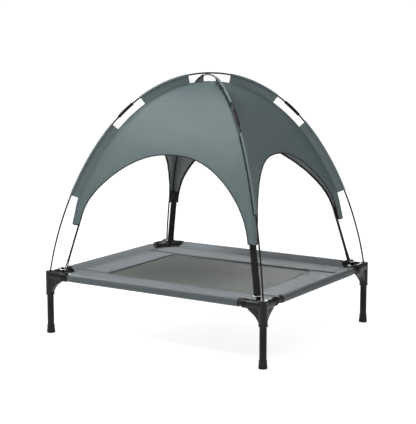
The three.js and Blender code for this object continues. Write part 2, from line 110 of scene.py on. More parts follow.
DECK_PUCKER, DECK_CALM = 12.0, 25.0  # how far the deck's ripples fade at the mesh and at a sleeve
# Rows of a sleeve's cloth, counted from its seam: just past its top, and where it comes back under.
SLEEVE_CUT_ROW, SLEEVE_UNDER_ROW = 12, 36
SLEEVE_SHADE_TOP = 8.5  # the painted shade on a sleeve's outer side starts this far above the rail's axis
FIN_SHADE_FROM = -0.8  # across a lower fin with painted shade, from the pole's axis to the seam: what is further out is lighter
SIDE_COLUMNS = 5  # columns of a panel between its arch and each ridge
CANOPY_MIDDLE = np.array([0, 0, 350.0])
# SEAM_THREAD is the width of the black thread on the deck's seams, drawn wide so that it also paints shade
# along them.
STITCH_PITCH, STITCH_LENGTH, STITCH_WIDTH, STITCH_HEIGHT, SEAM_THREAD = 4.2, 3.0, 0.7, 0.45, 1.2
STITCH_RINGS = [(-0.5, 0.35, -0.3), (-0.25, 1, 0), (0.25, 1, 0), (0.5, 0.35, -0.3)]  # place, size, lift

CORNERS = {"front_left": (-1, -1), "front_right": (1, -1), "rear_right": (1, 1), "rear_left": (-1, 1)}


# ---- Camera ----
def add_camera():
    azimuth, elevation, distance = math.radians(32.4), math.radians(9.21), 3.7
    aim = Vector((-0.0036, -0.0023, 0.3348))
    back = Vector((math.sin(azimuth) * math.cos(elevation),
                   -math.cos(azimuth) * math.cos(elevation), math.sin(elevation)))
    data = bpy.data.cameras.new("camera")
    data.lens, data.sensor_width = 110.7, 36
    camera = bpy.data.objects.new("camera", data)
    camera.location = aim + back * distance
    camera.rotation_mode = "QUATERNION"
    camera.rotation_quaternion = (-back).to_track_quat("-Z", "Y")
    bpy.context.scene.collection.objects.link(camera)
    bpy.context.scene.camera = camera


# ---- Materials ----
class Finish:
    """A material, with a short way to add nodes to it."""

    def __init__(self, name, color, roughness, metallic=0.0, **sockets):
        self.material = bpy.data.materials.new(name)
        self.material.use_nodes = True
        self.tree = self.material.node_tree
        self.shader = self.tree.nodes["Principled BSDF"]
        self.color = (*color, 1)
        values = {"Base Color": self.color, "Roughness": roughness, "Metallic": metallic, **sockets}
        for socket, value in values.items():
            self.plug(self.shader.inputs[socket.replace("_", " ")], value)

    def plug(self, socket, value):
        """Links another node's output to a socket, or sets the socket's own value."""
        if isinstance(value, bpy.types.NodeSocket):
            self.tree.links.new(value, socket)
        else:
            socket.default_value = value

    def add(self, kind, inputs=None, **settings):
        node = self.tree.nodes.new("ShaderNode" + kind)
        for key, value in settings.items():
            setattr(node, key, value)
        for key, value in (inputs or {}).items():
            self.plug(node.inputs[key], value)
        return node

    def math(self, operation, first, second=0.0):
        return self.add("Math", {0: first, 1: second}, operation=operation).outputs[0]

    def cloth_coordinates(self):
        return self.add("UVMap", uv_map="cloth").outputs[0]

    def object_coordinates(self):
        return self.add("TexCoord").outputs["Object"]

    def noise(self, vector, scale, detail=3.0, stretch=(1, 1, 1)):
        placed = self.add("Mapping", {0: vector, 3: stretch}).outputs[0]
        return self.add("TexNoise", {"Vector": placed, "Scale": scale, "Detail": detail}).outputs[0]

    def wave(self, vector, pitch, direction):
        """Bands that are that far apart. The node itself makes 20 radians of wave per unit."""
        inputs = {"Vector": vector, "Scale": 2 * math.pi / 20 / pitch}
        return self.add("TexWave", inputs, bands_direction=direction).outputs["Fac"]

    def blend(self, factor, first, second, way="MIX"):
        inputs = {0: factor, 6: first, 7: second}
        return self.add("Mix", inputs, data_type="RGBA", blend_type=way).outputs[2]

    def spread(self, value, low, high):
        """A noise, which mostly lies between 0.3 and 0.7, as a value between low and high."""
        inputs = {"Value": value, "From Min": 0.3, "From Max": 0.7, "To Min": low, "To Max": high}
        return self.add("MapRange", inputs).outputs[0]

    def shade(self, amount):
        """The base colour, lighter or darker by a factor that varies over the surface."""
        return self.blend(1.0, self.color, amount, "MULTIPLY")

    def done(self, color, height=None, relief=0.0, roughness=None):
        """The material, with its colour, its relief in metres and its roughness where they vary."""
        self.plug(self.shader.inputs["Base Color"], color)
        if roughness:
            self.plug(self.shader.inputs["Roughness"], roughness)
        if height:
            bump = self.add("Bump", {"Height": height, "Distance": relief, "Strength": 1.0})
            self.plug(self.shader.inputs["Normal"], bump.outputs[0])
        return self.material


def woven(name, color, pitch, roughness, relief, sheen=0.0, gloss=0.5):
    """Plain weave: warp and weft pass over each other by turns, with slubs and faint cloudiness."""
    finish = Finish(name, color, roughness, Sheen_Weight=sheen, Sheen_Roughness=0.4, Specular_IOR_Level=gloss)
    place = finish.cloth_coordinates()
    warp, weft = finish.wave(place, pitch, "X"), finish.wave(place, pitch, "Y")
    over = finish.add("TexChecker", {"Vector": place, "Scale": 1 / pitch}).outputs["Fac"]
    height = finish.add("Mix", {0: over, 2: warp, 3: weft}).outputs[0]
    slubs = finish.math("ADD", finish.noise(place, 1.0, 2, (900, 26, 1)),
                        finish.noise(place, 1.0, 2, (26, 900, 1)))
    clouds = finish.noise(place, 11.0, 4)
    tone = finish.math("ADD", finish.spread(finish.math("MULTIPLY", slubs, 0.5), 0.955, 1.045),
                       finish.spread(clouds, -0.045, 0.045))
    threads = finish.add("MapRange", {"Value": height, "To Min": 0.8, "To Max": 1.08}).outputs[0]
    rough = finish.spread(clouds, roughness - 0.05, roughness + 0.05)
    return finish.done(finish.shade(finish.math("MULTIPLY", tone, threads)), height, relief, rough)


def open_mesh(name, color, pitch):
    """A coated mesh: round yarns with a hole between each four, coloured with painted shade."""
    finish = Finish(name, color, 0.6, Specular_IOR_Level=0.4)
    place = finish.cloth_coordinates()
    yarns = finish.math("MAXIMUM", finish.wave(place, pitch, "X"), finish.wave(place, pitch, "Y"))
    holes = finish.add("MapRange", {"Value": yarns, "From Min": 0.42, "From Max": 0.62}).outputs[0]
    clouds = finish.spread(finish.noise(place, 9.0, 4), 0.9, 1.1)
    streaks = finish.spread(finish.noise(place, 1.0, 3, (14, 260, 1)), 0.87, 1.13)
    yarn_color = finish.shade(finish.math("MULTIPLY", clouds, streaks))
    # The holes take a painted shade: a dark copy of the yarn colour, for the shade under the deck that would
    # show through them.
    painted_shade = [channel * 0.22 for channel in color]
    return finish.done(finish.blend(holes, (*painted_shade, 1), yarn_color), yarns, 0.00035)


def webbing(name, color, pitch):
    """Narrow webbing: ribs along the tape, broken by its weft, with a little fuzz."""
    finish = Finish(name, color, 0.78, Specular_IOR_Level=0.25, Sheen_Weight=0.04, Sheen_Roughness=0.45)
    place = finish.cloth_coordinates()
    ribs = finish.wave(place, pitch, "X")
    picks = finish.wave(place, pitch * 0.8, "Y")
    height = finish.math("MULTIPLY", ribs, finish.math("ADD", finish.math("MULTIPLY", picks, 0.5), 0.5))
    fuzz = finish.spread(finish.noise(place, 600.0, 3), 0.82, 1.18)
    threads = finish.add("MapRange", {"Value": height, "To Min": 0.6, "To Max": 1.3}).outputs[0]
    return finish.done(finish.shade(finish.math("MULTIPLY", threads, fuzz)), height, 0.00025)


def thread(name, color):
    """Sewing thread: twisted plies, by a fine slanted wave."""
    finish = Finish(name, color, 0.6, Sheen_Weight=0.1, Sheen_Roughness=0.4)
    place = finish.object_coordinates()
    twist = finish.wave(place, 0.000748, "DIAGONAL")
    return finish.done(finish.shade(finish.spread(twist, 0.8, 1.15)), twist, 0.0001)


def worn(finish, wear_color, amount):
    """Lightens edges that rub, by how sharply the surface turns there."""
    turn = finish.add("NewGeometry").outputs["Pointiness"]
    inputs = {"Value": turn, "From Min": 0.53, "From Max": 0.6, "To Max": amount}
    edges = finish.add("MapRange", inputs).outputs[0]
    grit = finish.spread(finish.noise(finish.object_coordinates(), 260.0, 4), 0.2, 1.0)
    return finish.blend(finish.math("MULTIPLY", edges, grit), finish.color, (*wear_color, 1))


def moulded(name, color, roughness, grain, wear=0.5):
    """Moulded plastic or rubber: a fine spark-eroded grain, faint flow marks and rubbed edges."""
    finish = Finish(name, color, roughness, Specular_IOR_Level=0.25)
    place = finish.object_coordinates()
    texture = finish.noise(place, 1500.0, 2)
    flow = finish.noise(place, 45.0, 3)
    tone = worn(finish, [channel * 2.6 for channel in color], wear)
    height = finish.math("ADD", texture, finish.math("MULTIPLY", flow, 0.6))
    return finish.done(tone, height, grain, finish.spread(flow, roughness - 0.07, roughness + 0.09))


def powder_coat(name, color):
    """Coated metal: orange peel under a soft gloss, with rubbed edges."""
    finish = Finish(name, color, 0.4, Specular_IOR_Level=0.14)
    place = finish.object_coordinates()
    peel = finish.noise(place, 700.0, 2)
    rubs = finish.noise(place, 60.0, 5)
    return finish.done(worn(finish, (0.12, 0.12, 0.115), 0.5), peel, 0.00012, finish.spread(rubs, 0.36, 0.5))


def glass_rod(name, color):
    """Pultruded fibreglass: long streaks of fibre along the rod, in a smooth resin."""
    finish = Finish(name, color, 0.42, Specular_IOR_Level=0.2)
    place = finish.cloth_coordinates()
    fibres = finish.noise(place, 1.0, 3, (2200, 30, 1))
    tone = finish.shade(finish.spread(fibres, 0.75, 1.3))
    return finish.done(tone, fibres, 0.00005, finish.spread(fibres, 0.36, 0.46))


def plated(name, color, roughness):
    """Plated wire with fine drawing marks and small stains."""
    finish = Finish(name, color, roughness, 1.0)
    place = finish.object_coordinates()
    marks = finish.noise(place, 380.0, 4)
    tone = finish.shade(finish.spread(marks, 0.82, 1.06))
    rough = finish.spread(finish.noise(place, 120.0, 4), roughness - 0.06, roughness + 0.12)
    return finish.done(tone, marks, 0.00004, rough)


def floor_finish():
    finish = Finish("pale_floor", (0.36, 0.36, 0.36), 0.7, Specular_IOR_Level=0.1,
                    Emission_Color=(1, 1, 1, 1), Emission_Strength=0.83)
    tone = finish.spread(finish.noise(finish.object_coordinates(), 3.0, 3), 0.995, 1.005)
    return finish.done(finish.shade(tone))


FINISH = {
    "canopy": woven("canopy_cloth", (0.078, 0.113, 0.118), 0.00055, 0.43, 0.00012, 0.03),
    # The fins' cloth is the canopy cloth made lighter: painted light on every fin.
    "fin": woven("fin_painted_light", (0.104, 0.142, 0.148), 0.00055, 0.43, 0.00012, 0.03),
    # A near-black copy of the fin cloth: painted shade on the lower pole's fins.
    "fin_painted_shade": woven("fin_painted_shade", (0.016, 0.026, 0.028), 0.00055, 0.8, 0.00012, gloss=0.12),
    "lining": woven("canopy_lining", (0.19, 0.208, 0.210), 0.00055, 0.55, 0.0001, 0.05),
    "bed": woven("bed_cloth", (0.132, 0.154, 0.167), 0.0008, 0.6, 0.0002, 0.2),
    # A dark copy of the bed cloth: painted shade on the sleeves' outer and lower sides.
    "sleeve": woven("sleeve_painted_shade", (0.054, 0.068, 0.076), 0.0008, 0.65, 0.0002, 0.1),
    # Near-black cloth for the deck's seam rolls: painted shade along the seams.
    "seam": woven("seam_roll_painted_shade", (0.030, 0.034, 0.037), 0.0008, 0.7, 0.0002),
    "mesh": open_mesh("mesh_cloth", (0.102, 0.117, 0.103), 0.0014),
    "webbing": webbing("black_webbing", (0.012, 0.0125, 0.012), 0.0016),
    "canopy_thread": thread("canopy_thread", (0.060, 0.078, 0.080)),
    "bed_thread": thread("bed_thread", (0.105, 0.118, 0.128)),
    "black_thread": thread("black_thread", (0.02, 0.02, 0.02)),
    "steel": powder_coat("black_steel", (0.0045, 0.0048, 0.0042)),
    "plastic": moulded("black_plastic", (0.0050, 0.0056, 0.0050), 0.30, 0.00006),
    "rubber": moulded("foot_rubber", (0.0075, 0.0075, 0.0070), 0.6, 0.0001, 0.3),
    "rod": glass_rod("fibreglass", (0.006, 0.006, 0.006)),
    "ferrule": powder_coat("ferrule", (0.006, 0.0062, 0.0065)),
    "ring": plated("ring_steel", (0.66, 0.67, 0.68), 0.22),
}


# ---- Shapes: each is its points, its faces and its cloth coordinates in metres ----
def unit(vectors):
    return vectors / np.maximum(np.linalg.norm(vectors, axis=-1, keepdims=True), 1e-9)


def merge(shapes):
    points, faces, cloth, start = [], [], [], 0
    for shape_points, shape_faces, shape_cloth in shapes:
        points.append(shape_points)
        faces += [tuple(i + start for i in face) for face in shape_faces]
        cloth.append(shape_cloth)
        start += len(shape_points)
    return np.vstack(points), faces, np.vstack(cloth)


def placed_at(shape, shift, x=1, y=1):
    """A shape in its place, mirrored across X or Y where that is -1."""
    points, faces, cloth = shape
    return points * np.array([x, y, 1.0]) + np.array(shift, float), faces, cloth


def steps_along(points):
    return np.concatenate([[0], np.cumsum(np.linalg.norm(np.diff(points, axis=0), axis=1))])


def ring_faces(rings, sides, closed=False):
    """The faces between rings of points. The first and last ring are capped, or joined if closed."""
    faces = []
    for i in range(rings if closed else rings - 1):
        here, after = i * sides, (i + 1) % rings * sides
        for j in range(sides):
            turned = (j + 1) % sides
            faces.append((here + j, after + j, after + turned, here + turned))
    ends = [tuple(range(sides)), tuple(range((rings - 1) * sides, rings * sides))]
    return faces if closed else faces + ends


def sweep(at, a, b, section, closed=False):
    """Carries a closed section, whose points are (a, b), along a line of places."""
    section = np.asarray(section, float)
    if section.ndim == 2:
        section = np.broadcast_to(section, (len(at), *section.shape))
    n, k = section.shape[:2]
    points = (at[:, None] + section[..., :1] * a[:, None] + section[..., 1:] * b[:, None]).reshape(-1, 3)
    cloth = np.stack(np.meshgrid(steps_along(section[n // 2]), steps_along(at)), -1)
    return points, ring_faces(n, k, closed), cloth.reshape(-1, 2) * MM


def circle(radius, sides):
    angles = np.arange(sides) * 2 * np.pi / sides
    return np.stack([radius * np.cos(angles), radius * np.sin(angles)], 1)


def lathe(profile, sides=48, closed=False):
    """Turns a profile of (radius, z) round Z. A closed profile goes round a hollow."""
    profile = np.asarray(profile, float)
    heights = np.broadcast_to(profile[:, 1, None], (len(profile), sides))
    rings = np.dstack([profile[:, 0, None, None] * circle(1.0, sides), heights])
    points = rings.reshape(-1, 3)
    return points, ring_faces(len(profile), sides, closed), points[:, 1:] * MM


def grid_normals(grid):
    return unit(np.cross(np.gradient(grid, axis=0), np.gradient(grid, axis=1)))


def shell(grid, thickness, cloth):
    """A closed sheet of cloth, centred on a grid of points. The upper side's faces come first."""
    rows, columns = grid.shape[:2]
    half = grid_normals(grid) * thickness / 2
    points = np.vstack([(grid + half).reshape(-1, 3), (grid - half).reshape(-1, 3)])
    below = rows * columns
    spots = np.arange(below).reshape(rows, columns)
    quads = np.stack([spots[:-1, :-1], spots[1:, :-1], spots[1:, 1:], spots[:-1, 1:]], -1).reshape(-1, 4)
    edge = [*spots[0, :-1], *spots[:-1, -1], *spots[-1, :0:-1], *spots[:0:-1, 0]]
    rim = [(edge[i], edge[(i + 1) % len(edge)], edge[(i + 1) % len(edge)] + below, edge[i] + below)
           for i in range(len(edge))]
    faces = [tuple(q) for q in quads] + [tuple(q) for q in quads[:, ::-1] + below] + rim
    flat = cloth.reshape(-1, 2)
    return points, faces, np.vstack([flat, flat])


def ribbon_outline(path, thickness):
    """The closed outline of an open line of that thickness, in two dimensions."""
    path = np.asarray(path, float)
    run = unit(np.gradient(path, axis=0))
    side = np.stack([-run[:, 1], run[:, 0]], 1) * thickness / 2
    return np.vstack([path + side, (path - side)[::-1]])


def rounded_bar(width, thickness, corner=0.3):
    w, t = width / 2, thickness / 2
    return [(-w, -t + corner), (-w + corner, -t), (w - corner, -t), (w, -t + corner),
            (w, t - corner), (w - corner, t), (-w + corner, t), (-w, t - corner)]


def stitches(lines, width=STITCH_WIDTH):
    """A row of short thread bumps along each (points, normals) line. Each bump is four rings."""
    bumps = []
    ring = np.array([(-1, 0), (0, 1), (1, 0), (0, -0.6)]) * (width / 2, STITCH_HEIGHT)
    for points, normals in lines:
        reach = steps_along(points)
        middles = np.arange(STITCH_PITCH / 2, reach[-1], STITCH_PITCH)
        place = lambda arc, what: np.stack([np.interp(arc, reach, what[:, k]) for k in range(3)], -1)
        up = unit(place(middles, normals))
        run = unit(place(middles + 1, points) - place(middles - 1, points))
        side = unit(np.cross(run, up))
        centre = place(middles, points)
        rings = []
        for shift, size, lift in STITCH_RINGS:
            at = centre + run * shift * STITCH_LENGTH + up * lift * STITCH_HEIGHT
            spread = ring[:, :1] * size * side[:, None] + ring[:, 1:] * size * up[:, None]
            rings.append(at[:, None] + spread)
        bumps.append(np.stack(rings, 1).reshape(-1, 3))
    points = np.vstack(bumps)
    one = ring_faces(len(STITCH_RINGS), len(ring))
    starts = range(0, len(points), len(STITCH_RINGS) * len(ring))
    return points, [tuple(i + start for i in face) for start in starts for face in one], points[:, :2] * MM


# ---- Pieces ----
def plain_object(name, points, faces):
    """A mesh object whose faces all point outwards."""
    mesh = bpy.data.meshes.new(name)
    mesh.from_pydata((points * MM).tolist(), [], faces)
    work = bmesh.new()
    work.from_mesh(mesh)
    bmesh.ops.recalc_face_normals(work, faces=work.faces)
    work.to_mesh(mesh)
    work.free()
    piece = bpy.data.objects.new(name, mesh)
    bpy.context.scene.collection.objects.link(piece)
    return piece


def make_piece(name, shape, finish, body, nodes=(), sharp=35.0, other=None):
    """A piece from a shape. other is a second finish, and whether each face takes it."""
    points, faces, cloth = shape
    piece = plain_object(name, points, faces)
    mesh = piece.data
    corners = np.zeros(len(mesh.loops), np.int32)
    mesh.loops.foreach_get("vertex_index", corners)
    layer = mesh.uv_layers.new(name="cloth")
    layer.data.foreach_set("uv", cloth[corners].astype(np.float32).ravel())
    mesh.materials.append(FINISH[finish])
    if other:
        mesh.materials.append(FINISH[other[0]])
        mesh.polygons.foreach_set("material_index", np.asarray(other[1], np.int32))
    mesh.shade_smooth()
    mesh.set_sharp_from_angle(angle=math.radians(sharp))
    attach(piece, body)
    if nodes:
        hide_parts(*nodes)
    return piece


def grid_area(grid):
    a, b = grid[1:, 1:] - grid[:-1, :-1], grid[1:, :-1] - grid[:-1, 1:]
    return np.linalg.norm(np.cross(a, b), axis=-1).sum() / 2 * MM * MM


# ---- Curves in the upright plane of one diagonal: (distance from the middle, height) ----
class Profile:
    def __init__(self, points):
        self.points = np.asarray(points, float)
        self.arcs = steps_along(self.points)
        self.length = self.arcs[-1]

    def at(self, arc):
        return np.stack([np.interp(arc, self.arcs, values) for values in self.points.T], -1)

    def tangent(self, arc, step=1.5):
        ahead, behind = np.minimum(arc + step, self.length), np.maximum(arc - step, 0)
        return unit(self.at(ahead) - self.at(behind))


def pole_profile(rise):
    t = np.linspace(0, 1, 801)[:, None]
    lean = np.array([-math.sin(POLE_LEAN), math.cos(POLE_LEAN)])
    foot = np.array([DIAGONAL, POLE_FOOT_Z])
    handles = [np.array([0, rise]), np.array([CROWN_HANDLE, rise]), foot + FOOT_HANDLE * lean, foot]
    weights = [(1 - t) ** 3, 3 * (1 - t) ** 2 * t, 3 * (1 - t) * t ** 2, t ** 3]
    curve = sum(w * h for w, h in zip(weights, handles))
    return Profile(np.vstack([curve, foot - lean * POLE_STUB]))


def inwards(run):
    """The way from a profile towards the middle of the canopy, from the way it runs."""
    return np.stack([run[:, 1], -run[:, 0]], 1)


def seam_profile():
    """The ridge seam: beside the pole down to the last fin, then straight to the tie-down ring."""
    pole = pole_profile((UPPER_RISE + LOWER_RISE) / 2)
    arcs = np.linspace(0, FIN_END, 200)
    points = pole.at(arcs) + FIN_WIDTH * inwards(pole.tangent(arcs))
    end = np.array([RING_INNER + SEAM_END, RING_Z])
    line = points[-1] + np.linspace(0, 1, 60)[1:, None] * (end - points[-1])
    whole = np.vstack([points, line])
    even = Profile(whole).at(np.linspace(0, Profile(whole).length, 400))
    soft = even.copy()
    for _ in range(120):
        soft[1:-1] = (soft[:-2] + 2 * soft[1:-1] + soft[2:]) / 4
    return Profile(soft)


SEAM = seam_profile()


def seam_radius(z):
    return np.interp(z, SEAM.points[::-1, 1], SEAM.points[::-1, 0])


def seam_arc(z):
    return np.interp(z, SEAM.points[::-1, 1], SEAM.arcs[::-1])


def diagonal_places(points, corner):
    """Points of a profile's plane, in the shared frame."""
    x, y = corner
    return np.stack([points[:, 0] * x * DIAGONAL_X, points[:, 0] * y * DIAGONAL_Y, points[:, 1]], -1)


def diagonal_across(corner, count):
    x, y = corner
    return np.tile([-y * DIAGONAL_Y, x * DIAGONAL_X, 0.0], (count, 1))


def pole_places(rise, corner, arcs):
    """Where a pole is at arcs counted from the crossing: its axis, the way inward, and across."""
    profile = pole_profile(rise)
    side = np.where(arcs < 0, -1.0, 1.0)[:, None]
    flat, run = profile.at(np.abs(arcs)), profile.tangent(np.abs(arcs))
    at = diagonal_places(flat * np.hstack([side, np.ones_like(side)]), corner)
    along = diagonal_places(run * np.hstack([np.ones_like(side), side]), corner)
    across = diagonal_across(corner, len(arcs))
    return at, unit(np.cross(across, along)), across


# ---- Poles and ferrules ----
def rounded_rod(at, inward, across):
    """A pole section whose two ends are broken by a small round."""
    reach = steps_along(at)
    near = np.minimum(reach, reach[-1] - reach)
    radii = POLE_R - ROD_ROUND * np.clip(1 - near / ROD_ROUND, 0, 1) ** 2
    return sweep(at, inward, across, circle(1.0, ROD_SIDES) * radii[:, None, None])


def end_spaced(low, high, step=6):
    """Arcs from low to high, close together over the round at each end."""
    inner = np.linspace(low + ROD_ROUND, high - ROD_ROUND, max(int((high - low) / step), 3))
    edge = np.array([0, 0.25, 0.6]) * ROD_ROUND
    return np.concatenate([low + edge, inner, high - edge[::-1]])


def add_pole(name, rise, corner, start_name, end_name):
    length = pole_profile(rise).length
    joint = length / 3
    stretches = {f"{name}_middle": (-joint + HALF_GAP, joint - HALF_GAP),
                 f"{name}_{start_name}": (-length, -joint - HALF_GAP),
                 f"{name}_{end_name}": (joint + HALF_GAP, length)}
    for piece, (low, high) in stretches.items():
        places = pole_places(rise, corner, end_spaced(low, high))
        make_piece(f"{piece}_rod", rounded_rod(*places), "rod", "canopy", [piece])
    for end, side in ((start_name, -1), (end_name, 1)):
        add_ferrule(end, rise, corner, side * joint)


def add_ferrule(name, rise, corner, middle):
    """A drawn sleeve with turned-in ends and a crimp near each."""
    arcs = np.linspace(-FERRULE_LENGTH / 2, FERRULE_LENGTH / 2, 67)
    at, inward, across = pole_places(rise, corner, middle + arcs)
    near = FERRULE_LENGTH / 2 - np.abs(arcs)
    radii = FERRULE_R - 0.6 * np.clip(1 - near / 1.5, 0, 1) ** 2
    radii -= CRIMP_DEPTH * np.exp(-((near - CRIMP_INSET) / CRIMP_WIDTH) ** 2)
    outer = circle(1.0, ROD_SIDES) * radii[:, None, None]
    tube = np.concatenate([outer, np.broadcast_to(circle(POLE_R + 0.35, ROD_SIDES), outer.shape)])
    round_trip = [np.concatenate([v, v[::-1]]) for v in (at, inward, across)]
    shape = sweep(*round_trip, tube, closed=True)
    make_piece(f"ferrule_{name}_sleeve", shape, "ferrule", "canopy", [f"ferrule_{name}"])


# ---- Ridge fins ----
def fin_path():
    """Across a fin: from the ridge seam, round the pole, and back to the seam."""
    angles = np.radians(np.linspace(20, 340, 25))
    loop = FIN_LOOP_R * np.stack([np.cos(angles), np.sin(angles)], 1)
    out = np.linspace(FIN_WIDTH + 0.6, 5, 9)
    web = np.stack([out, 0.32 + 0.5 * np.maximum(0, 1 - (out - 5) / 5)], 1)
    return np.vstack([web, loop, (web * (1, -1))[::-1]])


def add_fins(name, rise, corner, start_name, end_name):
    """The four fins of a pole. Returns the lines of their stitches."""
    lines = []
    joint = pole_profile(rise).length / 3
    levels = {"upper": (CROWN_GAP, joint - FERRULE_GAP), "lower": (joint + FERRULE_GAP, FIN_END)}
    path = fin_path()
    outline = ribbon_outline(path, FIN_CLOTH)
    for level, (near, far) in levels.items():
        for end, side in ((start_name, -1), (end_name, 1)):
            arcs = np.sort(side * np.linspace(near, far, 44))
            at, inward, across = pole_places(rise, corner, arcs)
            wave = 0.35 * np.sin(arcs / 5.5 + 1.3 * np.sin(arcs / 23))
            section = np.broadcast_to(outline, (len(arcs), *outline.shape)).copy()
            share = np.clip((outline[:, 0] - 5) / 8, 0, 1) * np.clip((FIN_WIDTH - outline[:, 0]) / 4, 0, 1)
            section[..., 1] += wave[:, None] * share
            shape = sweep(at, inward, across, section)
            middle = outline[np.arange(len(shape[1])) % len(outline), 0]
            # The lower pole's fins take a painted shade over their web and the inner side of their sleeve.
            painted_shade = (name == "lower") & (middle > FIN_SHADE_FROM)
            piece = make_piece(f"fin_{level}_{end}_cloth", shape, "fin", "canopy",
                               [f"canopy_fin_{level}_{end}"], 60, ("fin_painted_shade", painted_shade))
            for way in (across, -across):
                lines.append((at + inward * FIN_STITCH_INSET + way * FIN_STITCH_RISE, way))
    return lines


# ---- Canopy panels ----
def hem_height(v):
    reach = np.minimum(np.abs(v) / ARCH_SPREAD, 1)
    return HEM_Z + (ARCH_TOP - HEM_Z) * np.sqrt(1 - reach ** ARCH_POWER)


def quarter_turned(points, quarter):
    c, s = [(1, 0), (0, 1), (-1, 0), (0, -1)][quarter % 4]
    x, y, z = np.moveaxis(points, -1, 0)
    return np.stack([c * x - s * y, s * x + c * y, z], -1)


def panel_spans(quarter):
    return (DIAGONAL_Y, DIAGONAL_X) if quarter % 2 == 0 else (DIAGONAL_X, DIAGONAL_Y)


def panel_surface(quarter, z, v):
    to_side, half_span = panel_spans(quarter)
    radius = np.maximum(seam_radius(z), 0.4)
    out = to_side * radius * (1 - PANEL_SAG * (1 - v * v))
    return quarter_turned(np.stack([half_span * radius * v, -out, z + 0 * v], -1), quarter)


def panel_columns():
    angles = np.linspace(-1, 1, 57) * math.pi / 2
    arch = np.sign(angles) * ARCH_SPREAD * np.abs(np.sin(angles)) ** (2 / ARCH_POWER)
    side = np.linspace(ARCH_SPREAD, 1, SIDE_COLUMNS + 1)[1:]
    return np.concatenate([-side[::-1], arch, side])


def panel_relief(quarter, z, v, to_hem):
    """How far the cloth stands off its even curve: seam puckers, pull lines and slow waves."""
    half_span = panel_spans(quarter)[1]
    from_seam = (1 - np.abs(v)) * seam_radius(z) * half_span
    arc = seam_arc(z) + 9 * np.sign(v) + 31 * quarter
    free = 1 - np.exp(-from_seam / 5)
    pucker = 0.5 * np.exp(-from_seam / 15) * np.sin(arc / 2.5 + 1.6 * np.sin(arc / 31))
    hem = 0.3 * np.exp(-to_hem / 9) * np.sin(v * 95 + 2 * np.sin(v * 17 + quarter))
    pull = 0.6 * np.exp(-(z - HEM_Z) / 95) * np.sin(from_seam / 3.8 + 0.9 * quarter)
    slow = 1.5 * np.sin(z / 41 + 2.2 * v + 1.7 * quarter) * np.sin(3.1 * v + z / 95 + quarter)
    slow *= np.clip(from_seam / 60, 0, 1) * np.clip(to_hem / 60, 0.25, 1)
    return free * (pucker + hem + pull) + slow


def outward_normals(grid):
    """Normals that point away from the middle of the canopy, and the sign that turned them so."""
    normals = grid_normals(grid)
    sign = np.sign((normals * (grid - CANOPY_MIDDLE)).sum(-1).mean())
    return sign * normals, sign


def panel_grid(quarter):
    v = panel_columns()[None, :]
    drop = np.linspace(0.002, 1, 76)[:, None]
    top = SEAM.points[0, 1]
    z = top - (top - hem_height(v)) * drop ** 1.35
    grid = panel_surface(quarter, z, v + 0 * z)
    lengths = np.linalg.norm(np.diff(grid[::-1], axis=0), axis=-1)
    to_hem = np.vstack([np.zeros((1, lengths.shape[1])), np.cumsum(lengths, 0)])[::-1]
    return grid + outward_normals(grid)[0] * panel_relief(quarter, z, v + 0 * z, to_hem)[..., None]


def panel_cloth(quarter, grid):
    """Flat coordinates of a panel's weave: level across it, and down its slope."""
    slope = SEAM.points * (panel_spans(quarter)[0], 1)
    down = np.interp(-grid[..., 2], -slope[:, 1], steps_along(slope))
    return np.stack([quarter_turned(grid, -quarter)[..., 0], down], -1) * MM


def tape_cloth(grid):
    """Flat coordinates of a tape's weave: across it, and along it."""
    across = np.linalg.norm(np.diff(grid, axis=1), axis=-1)
    down = np.linalg.norm(np.diff(grid, axis=0), axis=-1)
    u = np.hstack([np.zeros((len(grid), 1)), np.cumsum(across, 1)])
    u -= u[:, u.shape[1] // 2, None]
    v = np.vstack([np.zeros((1, grid.shape[1])), np.cumsum(down, 0)])
    return np.stack([u, v], -1) * MM


def binding_shape(hem, up, out):
    """Folded tape over a hem: a narrow edge outside and a wide one inside, which narrows at the feet."""
    t, c = BINDING_CLOTH, PANEL_CLOTH / 2 + 0.05
    outside = [(1.8, c), (1.8, c + t * 0.6), (1.3, c + t), (-0.6, c + t), (-1.3, c + 0.2), (-1.5, 0)]
    sections = [outside + [(-1.3, -c - 0.2), (-0.6, -c - t), (wide - 0.4, -c - t), (wide, -c - t * 0.6),
                           (wide, -c), (-0.4, -c), (-0.6, 0), (-0.4, c)]
                for wide in 2.0 + 3.0 * np.clip((hem[:, 2] - HEM_Z) / 70, 0, 1)]
    return sweep(hem, up, out, sections)


def line_from_hem(grid, normals, reach):
    """The line over a panel that keeps that far from its arch, with the way out."""
    inner = slice(SIDE_COLUMNS, -SIDE_COLUMNS)
    arch = grid[-1, inner]
    along = np.linspace(0, steps_along(arch)[-1], 400)
    hem = np.stack([np.interp(along, steps_along(arch), arch[:, k]) for k in range(3)], -1)
    gaps = np.linalg.norm(grid[::-1, inner, None] - hem, axis=-1).min(-1)
    after = np.argmax(gaps > reach, axis=0)
    columns = np.arange(gaps.shape[1])
    near, far = gaps[after - 1, columns], gaps[after, columns]
    share = ((reach - near) / (far - near))[:, None]
    places, ways = (rows[after - 1, columns] * (1 - share) + rows[after, columns] * share
                    for rows in (grid[::-1, inner], normals[::-1, inner]))
    return places, unit(ways)


